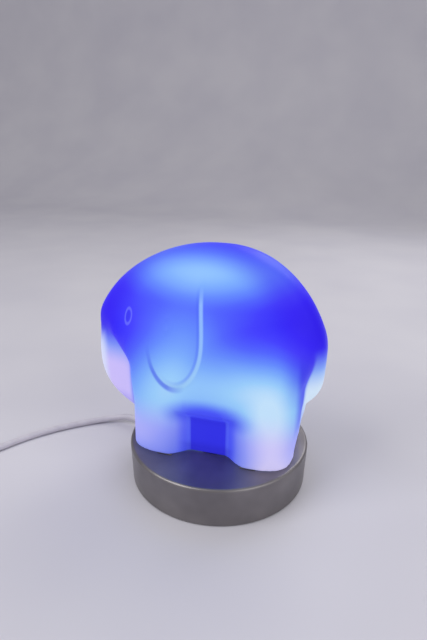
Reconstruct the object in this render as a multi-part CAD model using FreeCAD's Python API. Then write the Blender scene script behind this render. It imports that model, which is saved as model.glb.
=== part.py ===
import FreeCAD, Part
import math
import os

from FreeCAD import Vector

# Elephant night light: a blown satin glass elephant that stands on a round metal base.
# Millimetres. +Z is up, the origin is the middle of the base on the table,
# the elephant's head points to -X and the flank in the photograph is on the -Y side.

# Fits, as gaps on the radius or on one side
running_gap = 0.05
fixed_gap = 0.02
seat_gap = 0.3

# Base pan, a spun drum that is open below
base_radius = 75.0
base_foot_radius = 73.9
base_height = 33.5
base_rim_round = 2.3
pan_sheet = 1.2
pan_lift = 1.0
cover_sheet = 2.0
cover_side_gap = 0.6
foot_pad_height = 2.0
foot_pad_radius = 63.5
foot_pad_hole = 4.5

# Iron weight, the three studs that carry it and the pillars below it
weight_side_gap = 4.8
weight_inner = 40.0
weight_height = 11.0
stud_radius = 2.0
stud_circle = 54.0
stud_count = 3
stud_angle = 60.0
stud_below_weight = 7.0
pillar_flats = 8.0
cover_screw_reach = 7.0
screw_head_radius = 3.5
screw_head_height = 1.4

# Glass elephant
glass_wall = 3.5
seat_pad_height = 0.8
seat_pad_length = 12.0
seat_pad_width = 1.8
seat_pad_x = 34.0
seat_pad_y = 40.6
shade_top = 198.5
outline_x = -12.0
outline_z = 101.0
head_reach = 93.3
rump_reach = 94.4
foot_front = 65.9
foot_rear = 65.8
leg_front = 65.5
leg_rear = 69.5
knee_z = 70.0
shoulder_front = 68.0
shoulder_rear = 70.4
cheek_from_z = 100.0
cheek_to_z = 144.5
rump_from_z = 95.0
rump_to_z = 135.5
flank_half_width = 43.7
dome_from_z = 84.0
foot_squareness = 5.3
belly_squareness = 1.94
leg_square_z = 94.5
crown_squareness = 2.15
belly_z = 148.0
blade_half_width = 18.6
blade_squareness = 3.5
trunk_tip_z = 54.0
tail_tip_z = 80.0
tip_curl = 2.4
blend_sharpness = 12.0
side_panel_y = 32.0
side_panel_half = 15.8
side_panel_x = -0.2
side_arch_z = 70.0
side_arch_round = 6.0
end_panel_x = 56.0
end_panel_half = 6.2
front_arch_z = 50.0
rear_arch_z = 66.0
end_arch_round = 4.0
leg_lobe_width = 8.2
ear_x = -24.0
ear_half_width = 21.5
ear_z = 130.0
ear_drop = 35.0
ear_top_z = 174.0
ear_lean = 3.0
ear_relief = 2.2
ear_edge = 2.5
ear_fade_low_z = 112.0
ear_fade_high_z = 145.0
eye_x = -66.8
eye_z = 142.6
eye_ring_rise = 5.4
eye_ring_reach = 3.0
eye_ring_wire = 0.9

# Spring clips that centre the glass
clip_width = 12.0
clip_sheet = 0.6
clip_height = 12.0
clip_bow = 1.6
clip_end_rivet_x = 36.5
clip_side_rivet_y = 19.0
clip_foot_margin = 4.0
rivet_radius = 1.5
rivet_head_radius = 2.6
rivet_head_height = 1.0

# Threaded tube that holds the lamp holder
nipple_radius = 5.0
nipple_bore = 3.3
nipple_below_nut = 2.0
nut_flats = 14.0
nut_height = 4.0
top_nut_height = 3.0
washer_radius = 9.5
washer_height = 1.0

# Lamp holder for a small screw cap
holder_radius = 14.0
holder_wall = 2.0
holder_floor = 3.0
holder_cap_height = 18.5
core_plug_depth = 6.0
core_flange = 1.5
core_crown = 2.5
sleeve_wall = 2.2
sleeve_height = 24.5
sleeve_lip = 2.0
sleeve_lip_radius = 9.4
shell_bore = 7.05
shell_sheet = 0.45
shell_height = 16.4
shell_flange_radius = 9.5
shell_flange_hole = 4.4
shell_flange_sheet = 0.6
thread_pitch = 2.82
thread_bead = 0.4
contact_width = 4.0
contact_sheet = 0.5
contact_length = 7.0
contact_rise = 3.0
terminal_x = 7.0
terminal_radius = 2.0
terminal_height = 5.0

# Lamp bulb
cap_radius = 6.75
cap_sheet = 0.4
cap_height = 14.5
tip_radius = 2.6
tip_height = 1.3
insulator_radius = 5.8
insulator_height = 2.4
neck_radius = 8.0
neck_plug_depth = 8.0
housing_radius = 20.0
housing_height = 21.0
housing_wall = 1.5
housing_neck_height = 2.0
globe_radius = 22.5
globe_wall = 1.2
led_board_radius = 17.2
led_board_sheet = 1.6
led_chip_side = 3.2
led_chip_height = 0.8
led_chip_circle = 10.0
led_chip_count = 6
driver_width = 9.0
driver_sheet = 1.2
driver_height = 22.0
driver_coil_radius = 2.6
driver_coil_length = 4.0
driver_coil_rise = 8.0
driver_tank_radius = 2.2
driver_tank_length = 8.0
driver_tank_rise = 5.0
driver_bed_half = 1.5

# Terminal block under the top of the base
block_x = -24.0
block_length = 18.0
block_depth = 20.0
block_height = 12.3
block_pitch = 8.0
block_wire_drop = 5.3
block_stud_radius = 1.5
block_nut_flats = 5.5
block_nut_height = 2.4
block_screw_radius = 1.3
block_screw_y = 5.0
block_screw_proud = 0.5
tube_radius = 2.1
tube_bore = 1.3
wire_radius = 1.1

# Cord, where it passes the base
cord_radius = 3.0
cord_angle = 158.0
cord_exit_z = 8.0
gland_barrel_radius = 4.4
gland_flange_radius = 6.5
gland_flange = 1.6
gland_sleeve_start = 5.0
gland_sleeve_end = 3.9
gland_outward = 22.0
gland_inward = 7.6
gland_nut_flats = 11.0
gland_nut_height = 2.8
gland_notch_half = 7.0
sheath_inward = 28.0

# Switch on the cord, in its own frame: X along the cord, Z up from the table
switch_length = 64.0
switch_width = 24.0
switch_height = 16.0
switch_split_z = 8.0
switch_wall = 1.8
switch_corner = 10.0
switch_top_round = 3.0
switch_bottom_round = 0.8
switch_cord_z = 6.5
switch_cord_depth = 8.0
rocker_length = 18.0
rocker_width = 9.6
rocker_side_gap = 0.4
rocker_axis_z = 13.5
rocker_end_rise = 3.4
rocker_middle_rise = 1.7
rocker_hub_radius = 2.6
rocker_tilt = 9.0
rocker_nib_radius = 1.3
rocker_nib_reach = 4.6
pin_radius = 1.2
pin_length = 15.0
pin_cheek = 2.0
pin_cheek_height = 3.6
switch_screw_x = 22.0
switch_screw_y = 7.6
switch_screw_radius = 1.2
switch_boss_radius = 2.7
switch_screw_head = 2.2
brass_x = 13.0
brass_y = -4.5
brass_side = 5.0
bridge_sheet = 0.5
link_y = 6.0

# Plug, in its own frame: X along the cord towards the pins
plug_body_length = 34.0
plug_width = 26.0
plug_neck_width = 14.0
plug_thickness = 14.0
plug_round = 2.0
plug_sleeve_length = 26.0
plug_cord_depth = 8.5
plug_sleeve_start = 3.9
plug_sleeve_end = 5.6
plug_pin_radius = 2.0
plug_pin_length = 19.0
plug_pin_root = 8.0
plug_pin_root_radius = 1.5
plug_pin_spacing = 19.0

# Coil of the cord's put-away length
coil_x = -342.6
coil_y = -59.5
coil_outer = 46.3
coil_pitch = 6.6
coil_layer_rise = 6.6
coil_rest_z = 3.02
coil_start_angle = 290.0
coil_low_turns = 3.0
coil_high_turns = 2.0 + 290.0 / 360.0

# Heights that follow
pan_inside_z = base_height - pan_sheet
cover_top_z = foot_pad_height + cover_sheet
weight_z = pan_inside_z - weight_height
weight_outer = base_radius - pan_sheet - weight_side_gap
shade_bottom = base_height + seat_pad_height
nut_z = pan_inside_z - washer_height - nut_height
cap_floor_z = base_height + holder_floor
cap_top_z = base_height + holder_cap_height
core_seat_z = cap_top_z + core_flange
core_top_z = core_seat_z + core_crown
sleeve_top_z = core_seat_z + sleeve_height
tip_z = core_top_z + contact_rise + contact_sheet + seat_gap
cap_z = tip_z + tip_height + insulator_height - 1.0
cap_end_z = cap_z + cap_height
housing_top_z = cap_end_z + housing_neck_height + housing_height
board_top_z = housing_top_z
block_z = pan_inside_z - block_height
block_wire_z = pan_inside_z - block_wire_drop
stud_angles = [stud_angle + 360.0 * i / stud_count for i in range(stud_count)]

UP = Vector(0, 0, 1)


def save(name, *solids):
    """Writes one node, a single solid or a group of separate solids."""
    shape = solids[0] if len(solids) == 1 else Part.makeCompound(list(solids))
    shape.exportStep("parts/" + name + ".step")


def polar(radius, degrees, z=0.0):
    angle = math.radians(degrees)
    return Vector(radius * math.cos(angle), radius * math.sin(angle), z)


def rod(radius, start, end):
    """A round bar from one point to another."""
    along = end - start
    return Part.makeCylinder(radius, along.Length, start, along)


def pipe(outer, bore, start, end):
    return rod(outer, start, end).cut(rod(bore, start, end))


def block(x0, x1, y0, y1, z0, z1):
    return Part.makeBox(x1 - x0, y1 - y0, z1 - z0, Vector(x0, y0, z0))


def prism(points, thickness):
    """A closed outline in the XY, XZ or YZ plane, pulled out along one vector."""
    return Part.Face(Part.makePolygon(points + points[:1])).extrude(thickness)


def hexagon(flats, foot, height):
    """An upright six-sided bar, measured across its flats, two of which face along X."""
    corner = flats / math.sqrt(3)
    return prism([foot + polar(corner, 30.0 + 60.0 * i) for i in range(6)], UP * height)


def laid(shape, angle, z):
    """Lays a shape that was built along +Z so that it points outwards from the Z axis."""
    shape.rotate(Vector(0, 0, 0), Vector(0, 1, 0), 90)
    shape.rotate(Vector(0, 0, 0), UP, angle)
    shape.translate(Vector(0, 0, z))
    return shape


def revolved(profile):
    """A closed outline of (radius, z) pairs turned about Z."""
    points = [Vector(r, 0, z) for r, z in profile]
    face = Part.Face(Part.makePolygon(points + points[:1]))
    return face.revolve(Vector(0, 0, 0), UP, 360)


def rounded_route(points):
    """Straight runs joined by arcs, each as large as its two runs allow. Returns wire and radii."""
    edges, radii = [], []
    start = points[0]
    for before, corner, after in zip(points, points[1:], points[2:]):
        back = (before - corner).normalize()
        on = (after - corner).normalize()
        run = min((before - corner).Length, (after - corner).Length)
        half_turn = (math.pi - back.getAngle(on)) / 2
        radii.append(0.45 * run / math.tan(half_turn))
        first = corner + back * (0.45 * run)
        last = corner + on * (0.45 * run)
        bisector = (back + on).normalize()
        centre = corner + bisector * (radii[-1] / math.cos(half_turn))
        middle = centre - bisector * radii[-1]
        edges.append(Part.LineSegment(start, first).toShape())
        edges.append(Part.Arc(first, middle, last).toShape())
        start = last
    edges.append(Part.LineSegment(start, points[-1]).toShape())
    return Part.Wire(edges), radii


def swept(wire, radius, start, along):
    ring = Part.Wire([Part.Circle(start, along, radius).toShape()])
    return wire.makePipeShell([ring], True, False)


def cord_tube(name, points, radius):
    """A cord along its route; prints its bends and how well its volume agrees with its length."""
    wire, radii = rounded_route(points)
    tube = swept(wire, radius, points[0], points[1] - points[0])
    expected = math.pi * radius ** 2 * wire.Length
    bends = ", ".join("%.0f" % r for r in radii)
    print("%s: length %.1f, bend radii %s, volume ratio %.5f"
          % (name, wire.Length, bends, tube.Volume / expected))
    return tube


def smooth(low, high, value):
    share = min(1.0, max(0.0, (value - low) / (high - low)))
    return share * share * (3 - 2 * share)


def dome(z, from_z, top_z):
    """Half width of a dome of unit half width, 1 at its foot and 0 at its top."""
    rise = min(1.0, max(0.0, (z - from_z) / (top_z - from_z)))
    return math.sqrt(1 - rise * rise)


def superellipse(along, across, reach, half, power):
    """Radius of a squared ellipse in the direction (along, across)."""
    return 1 / ((along / reach) ** power + (across / half) ** power) ** (1 / power)


def squareness(z):
    low = foot_squareness + (belly_squareness - foot_squareness) * smooth(leg_square_z, belly_z, z)
    return low + (crown_squareness - belly_squareness) * smooth(belly_z, shade_top, z)


def outline_reach(z, front, inset):
    """How far the round side outline reaches from the middle of the base at this height."""
    reach = head_reach - outline_x if front else rump_reach + outline_x
    return (reach - inset) * dome(z, outline_z, shade_top - inset)


def leg_reach(z, front, inset):
    if front:
        foot, knee, shoulder, shoulder_z = foot_front, leg_front, shoulder_front, cheek_from_z
    else:
        foot, knee, shoulder, shoulder_z = foot_rear, leg_rear, shoulder_rear, rump_from_z
    reach = foot + (knee - foot) * smooth(base_height, knee_z, z)
    return reach + (shoulder - knee) * smooth(knee_z, shoulder_z, z) - inset


def blade_reach(z, front, inset):
    """Trunk or tail: the outline down to its widest point, then curling back to its tip."""
    outline = outline_reach(z, front, inset)
    if z >= outline_z:
        return outline
    tip = (trunk_tip_z if front else tail_tip_z) + inset
    root = 0.9 * leg_reach(z, front, inset)
    fall = min(1.0, (outline_z - z) / (outline_z - tip))
    return root + (outline - root) * math.sqrt(1 - fall ** tip_curl)


def pressed(radius, flat, offset, half, arch_share):
    """Radius after a flat panel between two legs is pressed in below its arch."""
    lobe = math.sin(math.pi / 2 * min(1.0, max(0.0, (offset - half) / leg_lobe_width)))
    keep = 1 - (1 - lobe) * (1 - arch_share)
    return min(radius, flat + (radius - flat) * keep)


def skin_radius(angle, z, inset):
    """Distance of the skin from the Z axis; inset moves it inwards, for the inner face."""
    along, across = abs(math.cos(angle)), abs(math.sin(angle))
    front = math.cos(angle) < 0
    least = 0.001
    leg = leg_reach(z, front, inset)
    share = smooth(cheek_from_z, cheek_to_z, z) if front else smooth(rump_from_z, rump_to_z, z)
    reach = leg + (outline_reach(z, front, inset) - leg) * share
    half = (flank_half_width - inset) * dome(z, dome_from_z, shade_top - inset)
    half = max(least, half)
    body = superellipse(along, across, max(least, reach), half, squareness(z))
    blade_half = max(least, min(blade_half_width - inset, 0.98 * half))
    blade = max(least, blade_reach(z, front, inset))
    blade = superellipse(along, across, blade, blade_half, blade_squareness)
    radius = (body ** blend_sharpness + blade ** blend_sharpness) ** (1 / blend_sharpness)
    if across > 0.2:
        flat = side_panel_y - inset
        offset = abs(flat * math.cos(angle) / across - side_panel_x)
        arch = smooth(side_arch_z - side_arch_round, side_arch_z + side_arch_round, z - inset)
        radius = pressed(radius, flat / across, offset, side_panel_half + inset / 2, arch)
    if along > 0.2:
        flat = end_panel_x - inset
        offset = flat * across / along
        arch_z = front_arch_z if front else rear_arch_z
        arch = smooth(arch_z - end_arch_round, arch_z + end_arch_round, z - inset)
        radius = pressed(radius, flat / along, offset, end_panel_half + inset / 2, arch)
    return radius


def ear_height(x, z):
    """Relief of the ear: a U-shaped flap, full at its lower and rear edge, fading to the front."""
    across = (x - ear_x + ear_lean * smooth(ear_z, ear_top_z, z)) / ear_half_width
    if z < ear_z:
        down = (z - ear_z) / ear_drop
        spread = max(1e-6, math.hypot(across, down))
        slope = math.hypot(across / ear_half_width, down / ear_drop) / spread
        depth = (1 - spread) / max(1e-6, slope)
    else:
        depth = ear_half_width * (1 - abs(across))
    rearward = min(1.0, max(0.0, (across + 1) / 2))
    fade = 1 - smooth(ear_fade_low_z, ear_fade_high_z, z) * (1 - rearward)
    crown = 1 - smooth(ear_top_z - 10, ear_top_z + 6, z)
    return ear_relief * smooth(0, ear_edge, depth) * fade * crown


def skin_point(angle, z, inset):
    radius = skin_radius(angle, z, inset)
    x, y = radius * math.cos(angle), radius * math.sin(angle)
    if inset == 0 and abs(math.sin(angle)) > 0.4:
        y += math.copysign(ear_height(x, z), y)
    return Vector(x, y, z)


def skin_solid(inset, columns, leg_rows, dome_rows):
    """The elephant as one closed skin with a flat sole, smooth over rings of points."""
    top = shade_top - inset
    heights = [shade_bottom + (outline_z - shade_bottom) * i / leg_rows for i in range(leg_rows)]
    heights += [outline_z + (top - outline_z) * math.sin(math.pi / 2 * i / dome_rows)
                for i in range(dome_rows)]
    rings = [[skin_point(2 * math.pi * i / columns, z, inset) for i in range(columns)]
             for z in heights]
    rings.append([Vector(p.x / 3, p.y / 3, top) for p in rings[-1]])
    rings.append([Vector(0, 0, top)] * columns)
    count = len(rings)
    poles = [[ring[i] for ring in rings] for i in range(columns)]
    surface = Part.BSplineSurface()
    surface.buildFromPolesMultsKnots(
        poles, [1] * (columns + 1), [4] + [1] * (count - 4) + [4],
        list(range(columns + 1)), list(range(count - 2)), True, False, 3, 3)
    skin = surface.toShape()
    rim = [edge for edge in skin.Edges if edge.BoundBox.ZMax < shade_bottom + 0.01]
    solid = Part.Solid(Part.Shell([skin, Part.Face(Part.Wire(rim))]))
    solid.fix(1e-4, 1e-4, 1e-3)
    return solid


def eye_ring(side):
    """A raised oval ring on the cheek, square to the skin there."""
    angle = math.atan2(30.0 * side, eye_x)
    for _ in range(20):
        radius = skin_radius(angle, eye_z, 0)
        angle = math.copysign(math.acos(max(-1.0, eye_x / radius)), side)
    here = skin_point(angle, eye_z, 0)
    step = 0.02
    round_step = skin_point(angle + step, eye_z, 0) - skin_point(angle - step, eye_z, 0)
    up_step = skin_point(angle, eye_z + 1, 0) - skin_point(angle, eye_z - 1, 0)
    level = round_step.normalize()
    upright = (up_step - level * up_step.dot(level)).normalize()
    oval = Part.Ellipse(here + upright * eye_ring_rise, here + level * eye_ring_reach, here)
    return swept(Part.Wire([oval.toShape()]), eye_ring_wire, here + upright * eye_ring_rise, level)


def glass_shade():
    outer = skin_solid(0.0, 132, 28, 40)
    inner = skin_solid(glass_wall, 72, 20, 24)
    return outer.cut(inner).fuse([eye_ring(1), eye_ring(-1)])


def wall_radius(z):
    """Outer radius of the pan's slightly conical wall."""
    share = (z - pan_lift) / (base_height - base_rim_round - pan_lift)
    return base_foot_radius + (base_radius - base_foot_radius) * share


def beside_wall(outward):
    """Distance from the axis of a place this far outside the wall, where the cord passes it."""
    return wall_radius(cord_exit_z) + outward


def base_pan():
    side = base_radius - base_rim_round
    shoulder = base_height - base_rim_round
    inner_round = base_rim_round - pan_sheet
    turn = math.sqrt(0.5)
    points = {
        "top": Vector(0, 0, base_height),
        "rim": Vector(side, 0, base_height),
        "rim_mid": Vector(side + base_rim_round * turn, 0, shoulder + base_rim_round * turn),
        "rim_end": Vector(base_radius, 0, shoulder),
        "foot": Vector(base_foot_radius, 0, pan_lift),
        "foot_in": Vector(base_foot_radius - pan_sheet, 0, pan_lift),
        "in_end": Vector(base_radius - pan_sheet, 0, shoulder),
        "in_mid": Vector(side + inner_round * turn, 0, shoulder + inner_round * turn),
        "in_rim": Vector(side, 0, pan_inside_z),
        "under": Vector(0, 0, pan_inside_z),
    }

    def line(a, b):
        return Part.LineSegment(points[a], points[b]).toShape()

    profile = Part.Wire([
        line("top", "rim"),
        Part.Arc(points["rim"], points["rim_mid"], points["rim_end"]).toShape(),
        line("rim_end", "foot"), line("foot", "foot_in"), line("foot_in", "in_end"),
        Part.Arc(points["in_end"], points["in_mid"], points["in_rim"]).toShape(),
        line("in_rim", "under"), line("under", "top"),
    ])
    pan = Part.Face(profile).revolve(Vector(0, 0, 0), UP, 360)
    below, above = pan_inside_z - 1, base_height + 1
    holes = [rod(nipple_radius + running_gap, Vector(0, 0, below), Vector(0, 0, above))]
    for x, y in clip_rivet_places():
        holes.append(rod(rivet_radius + fixed_gap, Vector(x, y, below), Vector(x, y, above)))
    holes.append(rod(gland_barrel_radius + running_gap,
                     polar(beside_wall(-5), cord_angle, cord_exit_z),
                     polar(beside_wall(5), cord_angle, cord_exit_z)))
    pan = pan.cut(holes)
    studs = []
    for angle in stud_angles:
        studs.append(rod(stud_radius, polar(stud_circle, angle, weight_z - stud_below_weight),
                         polar(stud_circle, angle, pan_inside_z + pan_sheet / 2)))
    studs.append(rod(block_stud_radius, Vector(block_x, 0, block_z - block_nut_height - 0.6),
                     Vector(block_x, 0, pan_inside_z + pan_sheet / 2)))
    return pan.fuse(studs)


def base_weight():
    weight = pipe(weight_outer, weight_inner, Vector(0, 0, weight_z), Vector(0, 0, pan_inside_z))
    holes = [rod(stud_radius + 2 * running_gap, polar(stud_circle, a, weight_z - 1),
                 polar(stud_circle, a, pan_inside_z + 1)) for a in stud_angles]
    return weight.cut(holes)


def pillars():
    """Hexagon pillars: the stud screws in from above, the cover's screw from below."""
    made = []
    for angle in stud_angles:
        foot, head = polar(stud_circle, angle, cover_top_z), polar(stud_circle, angle, weight_z)
        pillar = hexagon(pillar_flats, foot, weight_z - cover_top_z)
        made.append(pillar.cut(rod(stud_radius + running_gap, foot, head)))
    return made


def bottom_cover():
    radius = base_foot_radius - pan_sheet - cover_side_gap
    cover = rod(radius, Vector(0, 0, foot_pad_height), Vector(0, 0, cover_top_z))
    holes = [rod(stud_radius + 2 * running_gap, polar(stud_circle, a, 0),
                 polar(stud_circle, a, cover_top_z + 1)) for a in stud_angles]
    notch = block(beside_wall(-gland_inward) - 2, beside_wall(gland_outward), -gland_notch_half,
                  gland_notch_half, 0, cover_top_z + 1)
    notch.rotate(Vector(0, 0, 0), UP, cord_angle)
    return cover.cut(holes + [notch])


def cover_screws():
    made = []
    for angle in stud_angles:
        under = polar(stud_circle, angle, foot_pad_height - screw_head_height)
        seat = polar(stud_circle, angle, foot_pad_height)
        tip = polar(stud_circle, angle, cover_top_z + cover_screw_reach)
        head = rod(screw_head_radius, under, seat)
        slot = block(-screw_head_radius, screw_head_radius, -0.5, 0.5, -0.1, 0.7)
        slot.translate(under)
        made.append(head.cut(slot).fuse(rod(stud_radius, seat, tip)))
    return made


def foot_pad():
    """One felt disc under the cover, pierced for the heads of its screws."""
    pad = rod(foot_pad_radius, Vector(0, 0, 0), Vector(0, 0, foot_pad_height))
    holes = [rod(foot_pad_hole, polar(stud_circle, a, -1), polar(stud_circle, a, foot_pad_height + 1))
             for a in stud_angles]
    return pad.cut(holes)


def seat_pads():
    x, y = seat_pad_x, seat_pad_y
    half, wide = seat_pad_length / 2, seat_pad_width / 2
    pads = []
    for side_x in (-1, 1):
        for side_y in (-1, 1):
            pads.append(block(side_x * x - half, side_x * x + half,
                              side_y * y - wide, side_y * y + wide, base_height, shade_bottom))
    return pads


def clip_rivet_places():
    end, side = clip_end_rivet_x, clip_side_rivet_y
    return [(end, 0), (0, side), (-end, 0), (0, -side)]


def clip_contacts():
    """How far from the axis each clip touches the inside of the glass."""
    end = end_panel_x - glass_wall - seat_gap
    side = side_panel_y - glass_wall - seat_gap
    return [end, side, end, side]


def shade_clips():
    """Leaf springs: a riveted foot, a rise, and a bow that leans against the glass."""
    clips = []
    for index, (rivet, touch) in enumerate(zip(clip_rivet_places(), clip_contacts())):
        start = math.hypot(*rivet) - clip_foot_margin
        back = touch - clip_bow
        z0, z1 = base_height, base_height + clip_height
        bow_z = z0 + 0.62 * clip_height
        t = clip_sheet
        outline = [(start, z0), (back, z0), (touch, bow_z), (back, z1), (back - t, z1),
                   (touch - t, bow_z), (back - t, z0 + t), (start, z0 + t)]
        points = [Vector(u, -clip_width / 2, z) for u, z in outline]
        clip = prism(points, Vector(0, clip_width, 0))
        hole = rod(rivet_radius + fixed_gap, Vector(start + clip_foot_margin, 0, z0 - 1),
                   Vector(start + clip_foot_margin, 0, z0 + t + 1))
        clip = clip.cut(hole)
        clip.rotate(Vector(0, 0, 0), UP, 90 * index)
        clips.append(clip)
    return clips


def clip_rivets():
    rivets = []
    for x, y in clip_rivet_places():
        top = base_height + clip_sheet
        shank = rod(rivet_radius, Vector(x, y, pan_inside_z - rivet_head_height),
                    Vector(x, y, top + rivet_head_height / 2))
        head = rod(rivet_head_radius, Vector(x, y, top), Vector(x, y, top + rivet_head_height))
        tail = rod(rivet_head_radius, Vector(x, y, pan_inside_z - rivet_head_height),
                   Vector(x, y, pan_inside_z))
        rivets.append(shank.fuse([head, tail]))
    return rivets


def nipple():
    return pipe(nipple_radius, nipple_bore, Vector(0, 0, nut_z - nipple_below_nut),
                Vector(0, 0, cap_floor_z + top_nut_height))


def nipple_nuts():
    bore = nipple_radius + running_gap
    nuts = []
    for z, height in ((nut_z, nut_height), (cap_floor_z, top_nut_height)):
        nut = hexagon(nut_flats, Vector(0, 0, z), height)
        nuts.append(nut.cut(rod(bore, Vector(0, 0, z - 1), Vector(0, 0, z + height + 1))))
    return nuts


def nipple_washer():
    return pipe(washer_radius, nipple_radius + running_gap,
                Vector(0, 0, pan_inside_z - washer_height), Vector(0, 0, pan_inside_z))


def holder_cap():
    inner = holder_radius - holder_wall
    return revolved([
        (nipple_radius + running_gap, base_height), (holder_radius - 1, base_height),
        (holder_radius, base_height + 1), (holder_radius, cap_top_z), (inner, cap_top_z),
        (inner, cap_floor_z), (nipple_radius + running_gap, cap_floor_z),
    ])


def holder_core():
    plug = holder_radius - holder_wall - running_gap
    crown = holder_radius - sleeve_wall - running_gap
    core = revolved([
        (0, cap_top_z - core_plug_depth), (plug, cap_top_z - core_plug_depth),
        (plug, cap_top_z), (holder_radius, cap_top_z), (holder_radius, core_seat_z),
        (crown, core_seat_z), (crown, core_top_z), (0, core_top_z),
    ])
    return core


def holder_sleeve():
    inner = holder_radius - sleeve_wall
    lip_z = sleeve_top_z - sleeve_lip
    sleeve = revolved([
        (inner, core_seat_z), (holder_radius, core_seat_z), (holder_radius, sleeve_top_z - 1.5),
        (holder_radius - 1.5, sleeve_top_z), (sleeve_lip_radius, sleeve_top_z),
        (sleeve_lip_radius, lip_z), (inner, lip_z),
    ])
    grooves = []
    for i in range(4):
        z = core_seat_z + 5 + 3 * i
        grooves.append(pipe(holder_radius + 1, holder_radius - 0.5, Vector(0, 0, z),
                            Vector(0, 0, z + 1)))
    return sleeve.cut(grooves)


def beaded_tube(radius, sheet, z0, z1, first_z):
    """A thin metal screw shell, its thread drawn as outward beads."""
    shell = pipe(radius + sheet, radius, Vector(0, 0, z0), Vector(0, 0, z1))
    beads = []
    z = first_z
    while z < z1 - thread_pitch / 2:
        beads.append(revolved([(radius + sheet / 2, z - 0.9), (radius + sheet + thread_bead, z - 0.2),
                               (radius + sheet + thread_bead, z + 0.2), (radius + sheet / 2, z + 0.9)]))
        z += thread_pitch
    return shell.fuse(beads)


def screw_shell():
    seat = core_top_z + shell_flange_sheet
    shell = beaded_tube(shell_bore, shell_sheet, core_top_z, core_top_z + shell_height, seat + 3)
    flange = pipe(shell_flange_radius, shell_flange_hole, Vector(0, 0, core_top_z),
                  Vector(0, 0, seat))
    return shell.fuse(flange)


def centre_contact():
    """A sprung tongue that rises to the tip of the bulb."""
    x0, half, t = -contact_length / 2, contact_width / 2, contact_sheet
    z = core_top_z
    rise = z + contact_rise
    outline = [(x0, z), (x0 + 3, z), (0.8, rise), (-x0, rise), (-x0, rise + t),
               (0.6, rise + t), (x0 + 2.8, z + t), (x0, z + t)]
    points = [Vector(x, -half, height) for x, height in outline]
    return prism(points, Vector(0, contact_width, 0))


def holder_terminals():
    top = cap_top_z - core_plug_depth
    posts = []
    for side in (-1, 1):
        x = side * terminal_x
        post = rod(terminal_radius, Vector(x, 0, top - terminal_height), Vector(x, 0, top))
        slot = block(x - terminal_radius, x + terminal_radius, -0.35, 0.35,
                     top - terminal_height - 1, top - terminal_height + 0.8)
        posts.append(post.cut(slot))
    return posts


def bulb_cap():
    cap = beaded_tube(cap_radius - thread_bead - cap_sheet, cap_sheet, cap_z, cap_end_z, cap_z + 2.4)
    return cap


def cap_insulator():
    inner = cap_radius - thread_bead - cap_sheet - running_gap
    base = tip_z + tip_height - 0.4
    return revolved([
        (0, base), (tip_radius, base), (inner, cap_z), (inner, cap_z + 1.4), (0, cap_z + 1.4),
    ])


def cap_contact():
    base = tip_z + tip_height - 0.4
    return revolved([(0, tip_z), (tip_radius - 1.2, tip_z), (tip_radius, tip_z + 0.7),
                     (tip_radius, base), (0, base)])


def bulb_housing():
    plug = cap_radius - thread_bead - cap_sheet - running_gap
    bore = plug - housing_wall
    neck_z = cap_end_z + housing_neck_height
    ledge = housing_top_z - led_board_sheet
    housing = revolved([
        (bore, cap_end_z - neck_plug_depth), (plug, cap_end_z - neck_plug_depth),
        (plug, cap_end_z), (neck_radius, cap_end_z), (neck_radius, neck_z),
        (housing_radius - 3, neck_z + 0.6 * housing_height), (housing_radius, housing_top_z - 3),
        (housing_radius, housing_top_z), (led_board_radius + running_gap, housing_top_z),
        (led_board_radius + running_gap, ledge), (housing_radius - 5, ledge),
        (housing_radius - 5, ledge - 1.5), (neck_radius - housing_wall, neck_z + 1),
        (bore, cap_end_z),
    ])
    return housing


def led_board():
    return rod(led_board_radius, Vector(0, 0, housing_top_z - led_board_sheet),
               Vector(0, 0, housing_top_z))


def led_chips():
    half = led_chip_side / 2
    chips = []
    for i in range(led_chip_count):
        chip = block(led_chip_circle - half, led_chip_circle + half, -half, half,
                     board_top_z, board_top_z + led_chip_height)
        chip.rotate(Vector(0, 0, 0), UP, 360.0 * i / led_chip_count)
        chips.append(chip)
    return chips


def driver_board():
    top = housing_top_z - led_board_sheet
    z0 = top - driver_height
    bore = cap_radius - thread_bead - cap_sheet - running_gap - housing_wall
    narrow = min(driver_width, 2 * bore * 0.8)
    neck_z = cap_end_z + housing_neck_height + 1
    half, thin = driver_width / 2, driver_sheet / 2
    board = block(-half, half, -thin, thin, neck_z, top)
    board = board.fuse(block(-narrow / 2, narrow / 2, -thin, thin, z0, neck_z))
    coil_z = neck_z + driver_coil_rise
    coil = rod(driver_coil_radius, Vector(0, thin, coil_z), Vector(0, thin + driver_coil_length, coil_z))
    tank_y, tank_z = -thin - driver_tank_radius, neck_z + driver_tank_rise
    tank = rod(driver_tank_radius, Vector(0, tank_y, tank_z),
               Vector(0, tank_y, tank_z + driver_tank_length))
    bed = block(-driver_bed_half, driver_bed_half, -thin - driver_bed_half, 0,
                tank_z + 1, tank_z + driver_tank_length - 1)
    return board.fuse([coil, tank, bed])


def bulb_globe():
    """An opal dome with an open foot on the rim of the housing."""
    foot = housing_top_z
    edge = housing_radius - 0.8
    centre_z = foot + math.sqrt(globe_radius ** 2 - edge ** 2)
    outer = Part.makeSphere(globe_radius, Vector(0, 0, centre_z))
    inner = Part.makeSphere(globe_radius - globe_wall, Vector(0, 0, centre_z))
    below = block(-globe_radius, globe_radius, -globe_radius, globe_radius,
                  centre_z - globe_radius - 1, foot)
    return outer.cut([inner, below])


def block_poles():
    return [block_x - block_pitch / 2, block_x + block_pitch / 2]


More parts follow.
